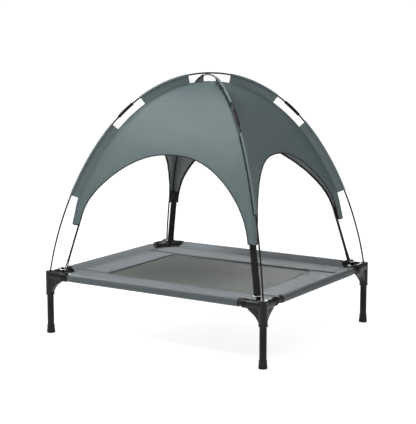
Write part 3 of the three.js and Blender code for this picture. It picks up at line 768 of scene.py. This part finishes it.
def add_panel(name, quarter):
    grid = panel_grid(quarter)
    normals, outward = outward_normals(grid)
    facing = grid if outward > 0 else grid[:, ::-1]
    shape = shell(facing, PANEL_CLOTH, panel_cloth(quarter, facing))
    inside = np.arange(len(shape[1])) >= (grid.shape[0] - 1) * (grid.shape[1] - 1)
    piece = make_piece(f"canopy_{name}_cloth", shape, "canopy", "canopy",
                       [f"canopy_panel_{name}"], 70, ("lining", inside))
    edge = slice(1, -1)
    hem, out = grid[-1, edge], normals[-1, edge]
    run = unit(np.gradient(hem, axis=0))
    up = unit(np.cross(out, run))
    up *= np.sign((up * (grid[-3, edge] - hem)).sum())
    out = unit(out - run * (out * run).sum(-1, keepdims=True))
    binding = make_piece(f"binding_{name}", binding_shape(hem, up, out), "webbing", "canopy",
                         sharp=50)
    fold, fold_out = line_from_hem(grid, normals, HEM_FOLD)
    rows = stitches([(hem + up * 0.6 + out * (PANEL_CLOTH / 2 + BINDING_CLOTH), out),
                     (fold + fold_out * (PANEL_CLOTH / 2 + 0.05), fold_out)])
    seam = make_piece(f"hem_stitches_{name}", rows, "canopy_thread", "canopy", sharp=80)


def ridge_grid(quarter, reach, lift):
    """Cloth over a ridge seam, between one quarter's far edge and the next quarter's near edge."""
    z = SEAM.at(np.linspace(10, seam_arc(HEM_Z), 120))[:, 1][:, None]
    columns = []
    for side, spans in ((quarter, reach[::-1]), (quarter + 1, reach[1:])):
        width = panel_spans(side)[1] * np.maximum(seam_radius(z), 1)
        share = 1 - np.asarray(spans)[None] / width
        columns.append(panel_surface(side, z + 0 * share, share if side == quarter else -share))
    grid = np.hstack(columns)
    normals = outward_normals(grid)[0]
    return grid + normals * lift, normals


def add_ridge(name, quarter):
    """Black tape inside the ridge, a folded seam outside it, and its two rows of stitches."""
    tape = ridge_grid(quarter, [0, 1.0, 2.0, 3.0], -(PANEL_CLOTH / 2 + 0.45))[0]
    make_piece(f"ridge_tape_{name}", shell(tape, BINDING_CLOTH, tape_cloth(tape)), "webbing", "canopy",
               sharp=60)
    arcs = np.linspace(0, seam_arc(HEM_Z), 120)
    flat, run = SEAM.at(arcs), SEAM.tangent(arcs)
    at = diagonal_places(flat, CORNERS[name])
    inward = diagonal_places(inwards(run), CORNERS[name])
    across = diagonal_across(CORNERS[name], len(at))
    fold = sweep(at, inward, across, [(1.0, -0.7), (-1.6, -0.6), (-1.9, 0), (-1.6, 0.6), (1.0, 0.7)])
    make_piece(f"ridge_fold_{name}", fold, "canopy", "canopy", sharp=60)
    edge, out = ridge_grid(quarter, [0, 4.0], PANEL_CLOTH / 2 + 0.05)
    rows = stitches([(edge[:, 0], out[:, 0]), (edge[:, -1], out[:, -1])])
    make_piece(f"ridge_stitches_{name}", rows, "canopy_thread", "canopy", sharp=80)


# ---- Tie-downs ----
# A square with both its diagonals, sewn in one line: (across the strap, up it).
STRAP_BOX = [(-6.5, 0), (6.5, 0), (6.5, 13), (-6.5, 13), (-6.5, 0), (6.5, 13), (6.5, 0), (-6.5, 13)]


def strap_path():
    """In the diagonal's plane, from inside the canopy's foot, round the ring's wire and back up."""
    top = np.array([seam_radius(STRAP_TOP) - STRAP_INSET, STRAP_TOP])
    low = np.array([RING_INNER, RING_Z])
    length = np.linalg.norm(top - low)
    loop_r, neck = 2.7, 44.0
    angles = np.radians(np.linspace(-8, -172, 15))
    loop = loop_r * np.stack([np.cos(angles), np.sin(angles)], 1)
    ply = STRAP_CLOTH / 2 + 0.05
    front = np.array([(ply, y) for y in np.linspace(length, neck, 14)])
    swell = np.linspace(neck, 2, 12)[1:]
    width = ply + (loop_r - ply) * ((neck - swell) / neck) ** 1.2
    half = np.vstack([front, np.stack([width, swell], 1)])
    path = np.vstack([half, loop, (half * (-1, 1))[::-1]])
    up = (top - low) / length
    out = np.array([up[1], -up[0]])
    return low + path[:, :1] * out + path[:, 1:] * up, up, out, low


def add_strap(name, corner):
    flat, up, out, low = strap_path()
    at = diagonal_places(flat, corner)
    run = unit(np.gradient(flat, axis=0))
    normal = diagonal_places(inwards(run), corner)
    across = diagonal_across(corner, len(at))
    shape = sweep(at, across, normal, rounded_bar(STRAP_WIDTH, STRAP_CLOTH, 0.4))
    make_piece(f"strap_{name}_webbing", shape, "webbing", "canopy", [f"strap_{name}"], 50)
    facing = diagonal_places(out[None], corner)[0]
    lines = []
    for side, bottom in ((1, BOX_RISE), (-1, BOX_RISE), (-1, flat[:, 1].max() - low[1] - BOX_DROP)):
        corners = [(x, bottom + y) for x, y in STRAP_BOX]
        trace = np.array([diagonal_places((low + out * (STRAP_CLOTH + 0.1) * side + up * y)[None], corner)[0]
                          + across[0] * x for x, y in corners])
        for start, stop in zip(trace[:-1], trace[1:]):
            line = start + np.linspace(0, 1, 12)[:, None] * (stop - start)
            lines.append((line, np.tile(facing * side, (12, 1))))
    make_piece(f"strap_stitches_{name}", stitches(lines), "black_thread", "canopy", sharp=80)
    add_anchor(name, corner, up, out, low)


def add_anchor(name, corner, up, out, low):
    """A crosspiece of tape at the strap's top, which joins it to the two panels."""
    height = STRAP_TOP - ANCHOR_HEIGHT / 2 - 1
    place = low + up * (height - RING_Z) / up[1] + out * (STRAP_CLOTH + ANCHOR_CLOTH / 2 + HALF_GAP)
    t, seam = np.linspace(-40, 40, 801), seam_radius(height)
    x, y = place[0] * DIAGONAL_X - t * DIAGONAL_Y, place[0] * DIAGONAL_Y + t * DIAGONAL_X
    sag_x, sag_y = (PANEL_SAG * (1 - (v / seam) ** 2) for v in (y / DIAGONAL_Y, x / DIAGONAL_X))
    inside = t[(x < DIAGONAL_X * seam * (1 - sag_x) - 1.3) & (y < DIAGONAL_Y * seam * (1 - sag_y) - 1.3)]
    ends = np.linspace(inside[0], inside[-1], 12) * corner[0] * corner[1]
    across = diagonal_across(corner, 12)
    at = diagonal_places(place[None], corner) + across * ends[:, None]
    ways = [np.tile(diagonal_places(way[None], corner), (12, 1)) for way in (up, out)]
    shape = sweep(at, *ways, rounded_bar(ANCHOR_HEIGHT, ANCHOR_CLOTH))
    make_piece(f"strap_anchor_{name}", shape, "webbing", "canopy", sharp=50)


def add_ring(name, corner):
    """A rounded rectangle of plated wire, lying flat over the peg."""
    half_x, half_y = RING_DEPTH / 2 - RING_CORNER_R, RING_WIDTH / 2 - RING_CORNER_R
    turns = np.radians(np.linspace(0, 90, 9))
    line, facing = [], []
    for start, (x, y) in enumerate([(1, 1), (-1, 1), (-1, -1), (1, -1)]):
        way = np.stack([np.cos(turns + start * math.pi / 2), np.sin(turns + start * math.pi / 2)], 1)
        line.append(np.array([x * half_x, y * half_y]) + RING_CORNER_R * way)
        facing.append(way)
    line, facing = np.vstack(line), np.vstack(facing)
    axis = diagonal_places(np.array([[1.0, 0.0]]), corner)[0]
    across = diagonal_across(corner, 1)[0]
    centre = axis * (RING_INNER + RING_DEPTH / 2) + np.array([0, 0, RING_Z])
    at = centre + line[:, :1] * axis + line[:, 1:] * across
    out = facing[:, :1] * axis + facing[:, 1:] * across
    shape = sweep(at, out, np.tile([0, 0, 1.0], (len(at), 1)), circle(RING_WIRE_R, 16), closed=True)
    make_piece(f"ring_{name}_wire", shape, "ring", "canopy", [f"strap_ring_{name}"])


# ---- Bed fabric ----
def deck_sag(x, y):
    along = np.clip(1 - (x / (LEG_X - SLEEVE_SEAM)) ** 2, 0, 1)
    return -DECK_SAG * along * np.clip(1 - (y / (LEG_Y - SLEEVE_SEAM)) ** 2, 0, 1)


def deck_relief(x, y):
    """Faint ripples: pulled lines towards each corner, and slow waves between the seams."""
    ax, ay = np.abs(x), np.abs(y)
    corner = np.exp(-np.hypot(LEG_X - 40 - ax, LEG_Y - 45 - ay) / 70)
    pull = 0.5 * corner * np.sin((ax - 0.85 * ay) / 4.3 + np.sign(x) + 2 * np.sign(y))
    return pull + 0.35 * np.sin(x / 37 + y / 23) * np.sin(y / 29 - x / 61 + 1)


def sleeve_rows():
    """The sleeve's cloth round a rail: (outward from the rail's axis, up from it), seam to seam."""
    start = np.array([-SLEEVE_SEAM, DECK_MIDDLE - RAIL_Z])
    end = np.array([-SLEEVE_SEAM, FOLD_MIDDLE - RAIL_Z])
    turn = lambda p: math.acos(SLEEVE_R / np.linalg.norm(p))
    first = math.pi - math.atan2(start[1], -start[0]) - turn(start)
    last = -math.pi - math.atan2(end[1], -end[0]) + turn(end)
    angles = np.linspace(first, last, 30)
    ring = SLEEVE_R * np.stack([np.cos(angles), np.sin(angles)], 1)
    ramp = start + np.linspace(0, 1, 6)[1:-1, None] * (ring[0] - start)
    under = ring[-1] + np.linspace(0, 1, 6)[1:-1, None] * (end - ring[-1])
    flap = end + np.array([[-4.0, 0], [-9, -0.05], [-14, -0.1]])
    rows = np.vstack([start, ramp, ring, under, end, flap])
    for _ in range(2):
        rows[1:-1] = (rows[:-2] + 2 * rows[1:-1] + rows[2:]) / 4
    return rows


def hem_rows(edge):
    """The folded hem of a deck piece: (distance from the middle of the bed, height)."""
    top = DECK_MIDDLE + HEM_RISE
    fold = [(edge + 12, FOLD_MIDDLE), (edge + 6, FOLD_MIDDLE), (edge + 1.6, FOLD_MIDDLE),
            (edge + 0.5, FOLD_MIDDLE + 0.3), (edge, (FOLD_MIDDLE + top) / 2), (edge + 0.5, top - 0.3),
            (edge + 1.6, top), (edge + 5.5, top - 0.15), (edge + 9.5, top), (edge + 11, top - 0.2),
            (edge + 12.2, DECK_MIDDLE + 0.15)]
    return np.array(fold)


def deck_rows(edge, rail):
    """A deck piece from its inner hem to the end of its sleeve's flap: its rows, which of them lie
    on the deck or under it, and the first row of the sleeve."""
    hem = hem_rows(edge)
    inner = np.array([(d, DECK_MIDDLE) for d in np.linspace(edge + 14, rail - SLEEVE_SEAM, 24)[:-1]])
    sleeve = sleeve_rows() + (rail, RAIL_Z)
    rows, first = np.vstack([hem, inner, sleeve]), len(hem) + len(inner)
    index = np.arange(len(rows))[:, None]
    return rows, (index < first) | (index > first + SLEEVE_UNDER_ROW), first


def fading(distance, width):
    return np.clip(distance / width, 0, 1)


def deck_heights(rows, on_deck, x, y, to_sleeve, to_mesh):
    """The heights of a deck piece's rows, sagged and rippled where they lie on the deck."""
    fade = fading(to_sleeve, DECK_CALM) * on_deck
    return rows[:, 1:] + deck_sag(x, y) * on_deck + deck_relief(x, y) * fade * to_mesh


def cut_corner(outward):
    """Half the length of a side strip at that distance from the middle: full, then cut slantwise."""
    places = [0, 210, 220, 232, 252, 270, 280, 290, 400]
    reach = [326, 326, 324.5, 319, 304.5, 290, 281, 275, 274]
    return np.interp(outward, places, reach)


def strip_grid(side):
    rows, on_deck, sleeve_from = deck_rows(MESH_WIDTH / 2 + HALF_GAP, LEG_Y)
    outward = rows[:, 0].copy()
    outward[sleeve_from + SLEEVE_CUT_ROW + 1:] = LEG_Y + SLEEVE_R
    reach = cut_corner(outward)
    reach[:3] = LEG_X - SLEEVE_SEAM - 1
    x = np.linspace(-1, 1, 121)[None, :] * reach[:, None]
    y = side * np.broadcast_to(rows[:, :1], x.shape)
    to_mesh = fading(np.abs(y) - MESH_WIDTH / 2, DECK_PUCKER)
    z = deck_heights(rows, on_deck, x, y, LEG_Y - SLEEVE_SEAM - np.abs(y), to_mesh)
    cloth = np.stack([x, np.broadcast_to(side * steps_along(rows)[:, None], x.shape)], -1) * MM
    return np.stack([x, y, z], -1), cloth


def end_sleeve_grid(x_side, y_side):
    """The part of a short rail's sleeve that belongs to a side strip."""
    rows = sleeve_rows() + (LEG_X, RAIL_Z)
    span = np.linspace(MESH_WIDTH / 2 + HALF_GAP, SLEEVE_END_Y, 9)
    x = x_side * np.broadcast_to(rows[:, :1], (len(rows), len(span)))
    y = y_side * np.broadcast_to(span[None], x.shape)
    cloth = np.stack([np.broadcast_to(steps_along(rows)[:, None] + LEG_X, x.shape), y], -1) * MM
    return np.stack([x, y, rows[:, 1:] + 0 * x], -1), cloth


def end_panel_grid(side):
    rows, on_deck, _ = deck_rows(MESH_LENGTH / 2 + HALF_GAP, LEG_X)
    span = np.linspace(-1, 1, 61) * (MESH_WIDTH / 2 - HALF_GAP)
    x = side * np.broadcast_to(rows[:, :1], (len(rows), len(span)))
    y = np.broadcast_to(span[None], x.shape)
    to_mesh = fading(MESH_WIDTH / 2 - np.abs(y), DECK_PUCKER)
    to_mesh = to_mesh * fading(np.abs(x) - MESH_LENGTH / 2, DECK_PUCKER)
    z = deck_heights(rows, on_deck, x, y, LEG_X - SLEEVE_SEAM - np.abs(x), to_mesh)
    cloth = np.stack([np.broadcast_to(side * steps_along(rows)[:, None], x.shape), y], -1) * MM
    return np.stack([x, y, z], -1), cloth


def deck_line(start, end, count, rise=0.0):
    """A line on the deck's top between two (x, y), with the way up."""
    x, y = (np.linspace(a, b, count) for a, b in zip(start, end))
    z = DECK_TOP + rise + deck_sag(x, y) + 0.05
    return np.stack([x, y, z], -1), np.tile([0, 0, 1.0], (count, 1))


def painted_shade_sides(shape, middle):
    """Which faces of a deck piece are on the outer or lower side of a sleeve, beyond its rail's axis: they
    take a painted shade.
    """
    centres = np.array([shape[0][list(face)].mean(0) for face in shape[1]])
    beyond = (np.abs(centres[:, :2]) > np.array(middle)).any(1)
    return beyond & (centres[:, 2] < RAIL_Z + SLEEVE_SHADE_TOP)


def add_bed():
    for name, side in (("front", -1), ("rear", 1)):
        grid, cloth = strip_grid(side)
        parts = [shell(grid, DECK_CLOTH, cloth)]
        area = grid_area(grid)
        for x_side in (-1, 1):
            end, end_cloth = end_sleeve_grid(x_side, side)
            parts.append(shell(end, DECK_CLOTH, end_cloth))
            area += grid_area(end)
        shape = merge(parts)
        # The sleeves' outer and lower sides take a painted shade.
        piece = make_piece(f"bed_strip_{name}", shape, "bed", "frame",
                           [f"bed_side_strip_{name}"], 75, ("sleeve", painted_shade_sides(shape, (LEG_X, LEG_Y))))
    for name, side in (("left", -1), ("right", 1)):
        grid, cloth = end_panel_grid(side)
        shape = shell(grid, DECK_CLOTH, cloth)
        # The sleeves' outer and lower sides take a painted shade.
        piece = make_piece(f"bed_end_{name}", shape, "bed", "frame",
                           [f"bed_end_panel_{name}"], 75, ("sleeve", painted_shade_sides(shape, (LEG_X, LEG_Y))))
    add_mesh_insert()
    add_deck_stitches()


def add_mesh_insert():
    x = np.linspace(-1, 1, 60) * (MESH_LENGTH / 2 + MESH_HEM)
    y = np.linspace(-1, 1, 46) * (MESH_WIDTH / 2 + MESH_HEM)
    x, y = np.meshgrid(x, y)
    grid = np.stack([x, y, DECK_TOP - MESH_DROP + deck_sag(x, y)], -1)
    piece = make_piece("mesh_insert_cloth", shell(grid, 0.8, grid[..., :2] * MM), "mesh", "frame",
                       ["mesh_insert"], 60)


def seam_roll_painted_shade(x_side, y_side):
    """The rolled edge of a side strip, where it crosses an end panel from the mesh to the sleeve. Its
    near-black cloth is painted shade along the seam.
    """
    reach = np.linspace(MESH_LENGTH / 2 + 3, LEG_X - SLEEVE_SEAM + 5, 40)
    y = MESH_WIDTH / 2 - 0.6
    at = np.stack([x_side * reach, np.full(40, y_side * y), DECK_TOP + deck_sag(reach, y) + 0.6], 1)
    across, up = np.tile([0, -y_side, 0.0], (40, 1)), np.tile([0, 0, 1.0], (40, 1))
    return sweep(at, across, up, circle(1.0, 12) * (1.2, 1.15))


def add_deck_stitches():
    lines, seams = [], []
    for side in (-1, 1):
        for inset, row in zip(HEM_STITCH_INSETS, (seams, lines)):
            y, x = side * (MESH_WIDTH / 2 + inset), side * (MESH_LENGTH / 2 + inset)
            row.append(deck_line((-(LEG_X - SLEEVE_SEAM), y), (LEG_X - SLEEVE_SEAM, y), 160, HEM_RISE))
            row.append(deck_line((x, -MESH_WIDTH / 2), (x, MESH_WIDTH / 2), 90, HEM_RISE))
        for inset in SLEEVE_STITCH_INSETS:
            y, x = side * (LEG_Y - inset), side * (LEG_X - inset)
            reach = cut_corner(LEG_Y - inset) - 2
            lines.append(deck_line((-reach, y), (reach, y), 160))
            lines.append(deck_line((x, -SLEEVE_END_Y), (x, SLEEVE_END_Y), 120))
    make_piece("deck_stitches", stitches(lines), "bed_thread", "frame", sharp=80)
    # The rows nearest the mesh, out to the sleeves, are real black thread, drawn wide so that it also paints
    # the shade along these seams.
    make_piece("deck_seam_stitches", stitches(seams, SEAM_THREAD), "black_thread", "frame",
               sharp=80)
    make_piece("deck_seam_rolls", merge([seam_roll_painted_shade(x, y) for x in (-1, 1) for y in (-1, 1)]),
               "seam", "frame", sharp=60)


# ---- Frame ----
def tube_shape(length):
    """A frame tube along Z from zero, with its cut edges broken."""
    outer, inner, c = TUBE_R, TUBE_R - TUBE_WALL, 0.35
    profile = [(outer - c, 0), (outer, c), (outer, length / 2), (outer, length - c), (outer - c, length),
               (inner + c, length), (inner, length - c), (inner, length / 2), (inner, c), (inner + c, 0)]
    return lathe(profile, 56, closed=True)


def add_rails():
    for axis, kind, names, half, apart in ((0, "long", ("front", "rear"), LEG_X, LEG_Y),
                                           (1, "short", ("left", "right"), LEG_Y, LEG_X)):
        length = 2 * (half - RAIL_START - GAP)
        points, faces, cloth = tube_shape(length)
        for name, side in zip(names, (-1, 1)):
            placed = [points[:, 0] + side * apart, points[:, 1] + RAIL_Z]
            placed.insert(axis, points[:, 2] - length / 2)
            make_piece(f"rail_{name}_tube", (np.stack(placed, -1), faces, cloth), "steel", "frame",
                       [f"{kind}_rail_{name}"])


def cap_shape():
    """A flared rubber cap: a grooved sole, a bead round the foot and a neck that grips the tube."""
    profile = [(0.01, 0.6), (5, 0.6), (5.6, 0), (7.4, 0), (7.8, 0.6), (8.8, 0.6), (9.2, 0), (10.8, 0),
               (11.5, 0.25), (12, 0.9), (12, 5.6), (11.85, 6.6), (11.4, 9.5), (10.95, 13), (10.8, 15.5),
               (10.8, 20), (11.1, 20.4), (11.1, 21.4), (10.7, 22), (10.1, 22), (9.8, 21.7), (9.8, 4.3),
               (9.5, 4), (0.01, 4)]
    return lathe(profile, 56)


def add_legs():
    for name, (x, y) in CORNERS.items():
        tube = placed_at(tube_shape(LEG_TOP - LEG_BOTTOM), (x * LEG_X, y * LEG_Y, LEG_BOTTOM))
        make_piece(f"leg_{name}_tube", tube, "steel", f"leg_{name}", [f"leg_tube_{name}"])
        cap = placed_at(cap_shape(), (x * LEG_X, y * LEG_Y, 0))
        make_piece(f"leg_{name}_cap", cap, "rubber", f"leg_{name}", [f"foot_cap_{name}"])


# ---- Corner brackets, built once for the front left corner with its leg's axis at x = y = 0 ----
BRACKET_VOXEL = 0.0009  # in metres


def lying(shape, along):
    """Turns a shape from along Z to along +X or +Y, at the rails' height."""
    points, faces, cloth = shape
    x, y, z = points.T
    turned = [z, x, y + RAIL_Z] if along == "x" else [x, z, y + RAIL_Z]
    return np.stack(turned, -1), faces, cloth


def rod_shape(radius, low, high, edge=0.6, sides=64):
    e = edge * 0.3
    profile = [(0.01, low), (radius - edge, low), (radius - e, low + e), (radius, low + edge),
               (radius, high - edge), (radius - e, high - e), (radius - edge, high), (0.01, high)]
    return lathe(profile, sides)


def plate_shape(outline, low, high):
    outline = np.asarray(outline, float)
    n = len(outline)
    points = np.vstack([np.column_stack([outline, np.full(n, z)]) for z in (low, high)])
    faces = [tuple(range(n)), tuple(range(n, 2 * n))]
    faces += [(i, (i + 1) % n, (i + 1) % n + n, i + n) for i in range(n)]
    return points, faces, points[:, :2] * MM


def web_shape(along):
    """The gusset under an arm, which runs down into the leg's socket."""
    outline = [(0, -12), (44, -12), (43.5, -24.5), (41, -27.5), (32, -34), (22, -41.5), (15, -50),
               (11, -57), (0, -58)]
    points, faces, cloth = plate_shape(outline, -WEB_HALF, WEB_HALF)
    out, drop, side = points.T
    placed = [out, side, drop + BED_HEIGHT] if along == "x" else [side, out, drop + BED_HEIGHT]
    return np.stack(placed, -1), faces, cloth


def peg_shape():
    """The tie-down peg with its lip towards the leg."""
    way = np.array([DIAGONAL_X, DIAGONAL_Y])
    side = np.array([-DIAGONAL_Y, DIAGONAL_X])
    a, c, lip = PEG_ALONG / 2, PEG_ACROSS / 2, PEG_LIP
    parts = []
    for low, high, out in ((SHELF_TOP - 3, PEG_TOP, 0), (PEG_TOP - PEG_LIP_HEIGHT, PEG_TOP, lip)):
        corners = [(-a - out, -c), (a, -c), (a, c), (-a - out, c)]
        outline = [way * (PEG_BACK + u) + side * v for u, v in corners]
        parts.append(plate_shape(outline, low, high))
    return parts


def bracket_parts():
    collar = rod_shape(12.7, SOCKET_BOTTOM, SOCKET_BOTTOM + 5, 1)
    parts = [rod_shape(SOCKET_R, SOCKET_BOTTOM, BED_HEIGHT, 1.2), collar]
    for along in ("x", "y"):
        parts += [lying(rod_shape(SOCKET_R, 0, RIB_STARTS[0], 0.8), along), web_shape(along)]
        parts.append(lying(rod_shape(RIB_FLOOR_R, 40, ARM_LENGTH - 0.5, 0.5), along))
    shelf = [(0, 0), (50, 0), (47, 9), (38, 29), (31, 37), (9, 44), (0, 46)]
    parts.append(plate_shape(shelf, SHELF_TOP - SHELF_THICKNESS, SHELF_TOP))
    return parts + peg_shape()


def bracket_tools():
    """What is cut out: the leg's and rails' bores, and the pole's hole."""
    tools = [rod_shape(BORE_R, SOCKET_BOTTOM - 5, LEG_TOP + 0.3, 0.2),
             rod_shape(POLE_HOLE_R, BED_HEIGHT - POLE_HOLE_DEPTH, BED_HEIGHT + 5, 0.2, 40)]
    return tools + [lying(rod_shape(BORE_R, RAIL_START, ARM_LENGTH + 5, 0.2), along) for along in ("x", "y")]


def with_modifiers(piece):
    """The piece's mesh with its modifiers worked in."""
    depsgraph = bpy.context.evaluated_depsgraph_get()
    mesh = bpy.data.meshes.new_from_object(piece.evaluated_get(depsgraph))
    piece.modifiers.clear()
    piece.data = mesh
    return piece


def cut_or_join(piece, shape, operation):
    tool = plain_object("tool", *shape[:2])
    boolean = piece.modifiers.new("boolean", "BOOLEAN")
    boolean.operation, boolean.object, boolean.solver = operation, tool, "EXACT"
    with_modifiers(piece)
    bpy.data.objects.remove(tool)


def bracket_mesh():
    """One moulded body: parts fused and softened, then its ribs added and its bores cut crisp."""
    body = plain_object("bracket_body", *merge(bracket_parts())[:2])
    fuse = body.modifiers.new("fuse", "REMESH")
    fuse.mode, fuse.voxel_size = "VOXEL", BRACKET_VOXEL
    with_modifiers(body)
    soften = body.modifiers.new("soften", "SMOOTH")
    soften.factor, soften.iterations = 0.5, 5
    with_modifiers(body)
    for along in ("x", "y"):
        for start in RIB_STARTS:
            cut_or_join(body, lying(rod_shape(RIB_R, start, start + RIB_WIDTH, 0.5), along), "UNION")
    for tool in bracket_tools():
        cut_or_join(body, tool, "DIFFERENCE")
    return body


def add_brackets():
    body = bracket_mesh()
    count = len(body.data.vertices)
    points = np.zeros(count * 3)
    body.data.vertices.foreach_get("co", points)
    points = points.reshape(-1, 3) / MM
    faces = [tuple(p.vertices) for p in body.data.polygons]
    bpy.data.objects.remove(body)
    shape = (points, faces, points[:, :2] * MM)
    for name, (x, y) in CORNERS.items():
        placed = placed_at(shape, (x * LEG_X, y * LEG_Y, 0), -x, -y)
        make_piece(f"bracket_{name}_moulding", placed, "plastic", "frame",
                   [f"corner_bracket_{name}"], 32)


# ---- Stage ----
FLOOR_EDGE, RIM_EDGE = (300, 0), (400, 70)  # half the width and the rise, in metres


def add_light(name, kind, place, size, power, target=(0, 0, 0.35)):
    """A square softbox of that size in metres, or a soft sun of that size in degrees."""
    data = bpy.data.lights.new(name, kind)
    if kind == "AREA":
        data.size = size
    else:
        data.angle = math.radians(size)
    data.energy = power
    light = bpy.data.objects.new(name, data)
    light.location = place
    light.rotation_mode = "QUATERNION"
    light.rotation_quaternion = (Vector(target) - Vector(place)).to_track_quat("-Z", "Y")
    light.visible_camera = False
    bpy.context.scene.collection.objects.link(light)


def add_stage():
    """A pale floor with a raised rim far away, plain light and the world."""
    mesh = bpy.data.meshes.new("floor")
    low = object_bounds()[0].z
    square = [(-1, -1), (1, -1), (1, 1), (-1, 1)]
    points = [(x * half, y * half, low + rise) for half, rise in (FLOOR_EDGE, RIM_EDGE) for x, y in square]
    rim = [(i, i + 4, (i + 1) % 4 + 4, (i + 1) % 4) for i in range(4)]
    mesh.from_pydata(points, [], [(0, 1, 2, 3)] + rim)
    mesh.materials.append(floor_finish())
    floor = bpy.data.objects.new("floor", mesh)
    bpy.context.scene.collection.objects.link(floor)
    world = bpy.data.worlds.new("studio")
    world.use_nodes = True
    world.node_tree.nodes["Background"].inputs["Color"].default_value = (1, 1, 1, 1)
    world.node_tree.nodes["Background"].inputs["Strength"].default_value = 0.3
    bpy.context.scene.world = world
    add_light("key", "AREA", (-0.75, -1.5, 2.45), 0.8, 43)
    add_light("canopy_gloss", "AREA", (-0.95, -0.61, 1.84), 0.4, 12.5)
    add_light("side", "AREA", (-2.1, 0.3, 1.0), 0.7, 30)
    add_light("overhead", "SUN", (0.2, 0.3, 4), 45, 0.9)
    add_light("rear_fill", "AREA", (-0.25, 1.05, 0.47), 0.35, 3.2, (0.08, -0.05, 0.16))
    bpy.context.scene.view_settings.view_transform = "Standard"


# ---- Assembly ----
fin_lines = []
add_camera()
add_legs()
add_brackets()
add_rails()
add_bed()
for pole_name, pole_rise, pole_corner, ends in (
        ("upper", UPPER_RISE, CORNERS["rear_right"], ("front_left", "rear_right")),
        ("lower", LOWER_RISE, CORNERS["front_right"], ("rear_left", "front_right"))):
    add_pole(f"{pole_name}_pole", pole_rise, pole_corner, *ends)
    fin_lines += add_fins(pole_name, pole_rise, pole_corner, *ends)
for index, panel_name in enumerate(("front", "right", "rear", "left")):
    add_panel(panel_name, index)
for index, corner_name in enumerate(("front_right", "rear_right", "rear_left", "front_left")):
    add_ridge(corner_name, index)
for corner_name, corner_signs in CORNERS.items():
    add_strap(corner_name, corner_signs)
    add_ring(corner_name, corner_signs)
make_piece("fin_stitches", stitches(fin_lines), "canopy_thread", "canopy", sharp=80)
add_stage()
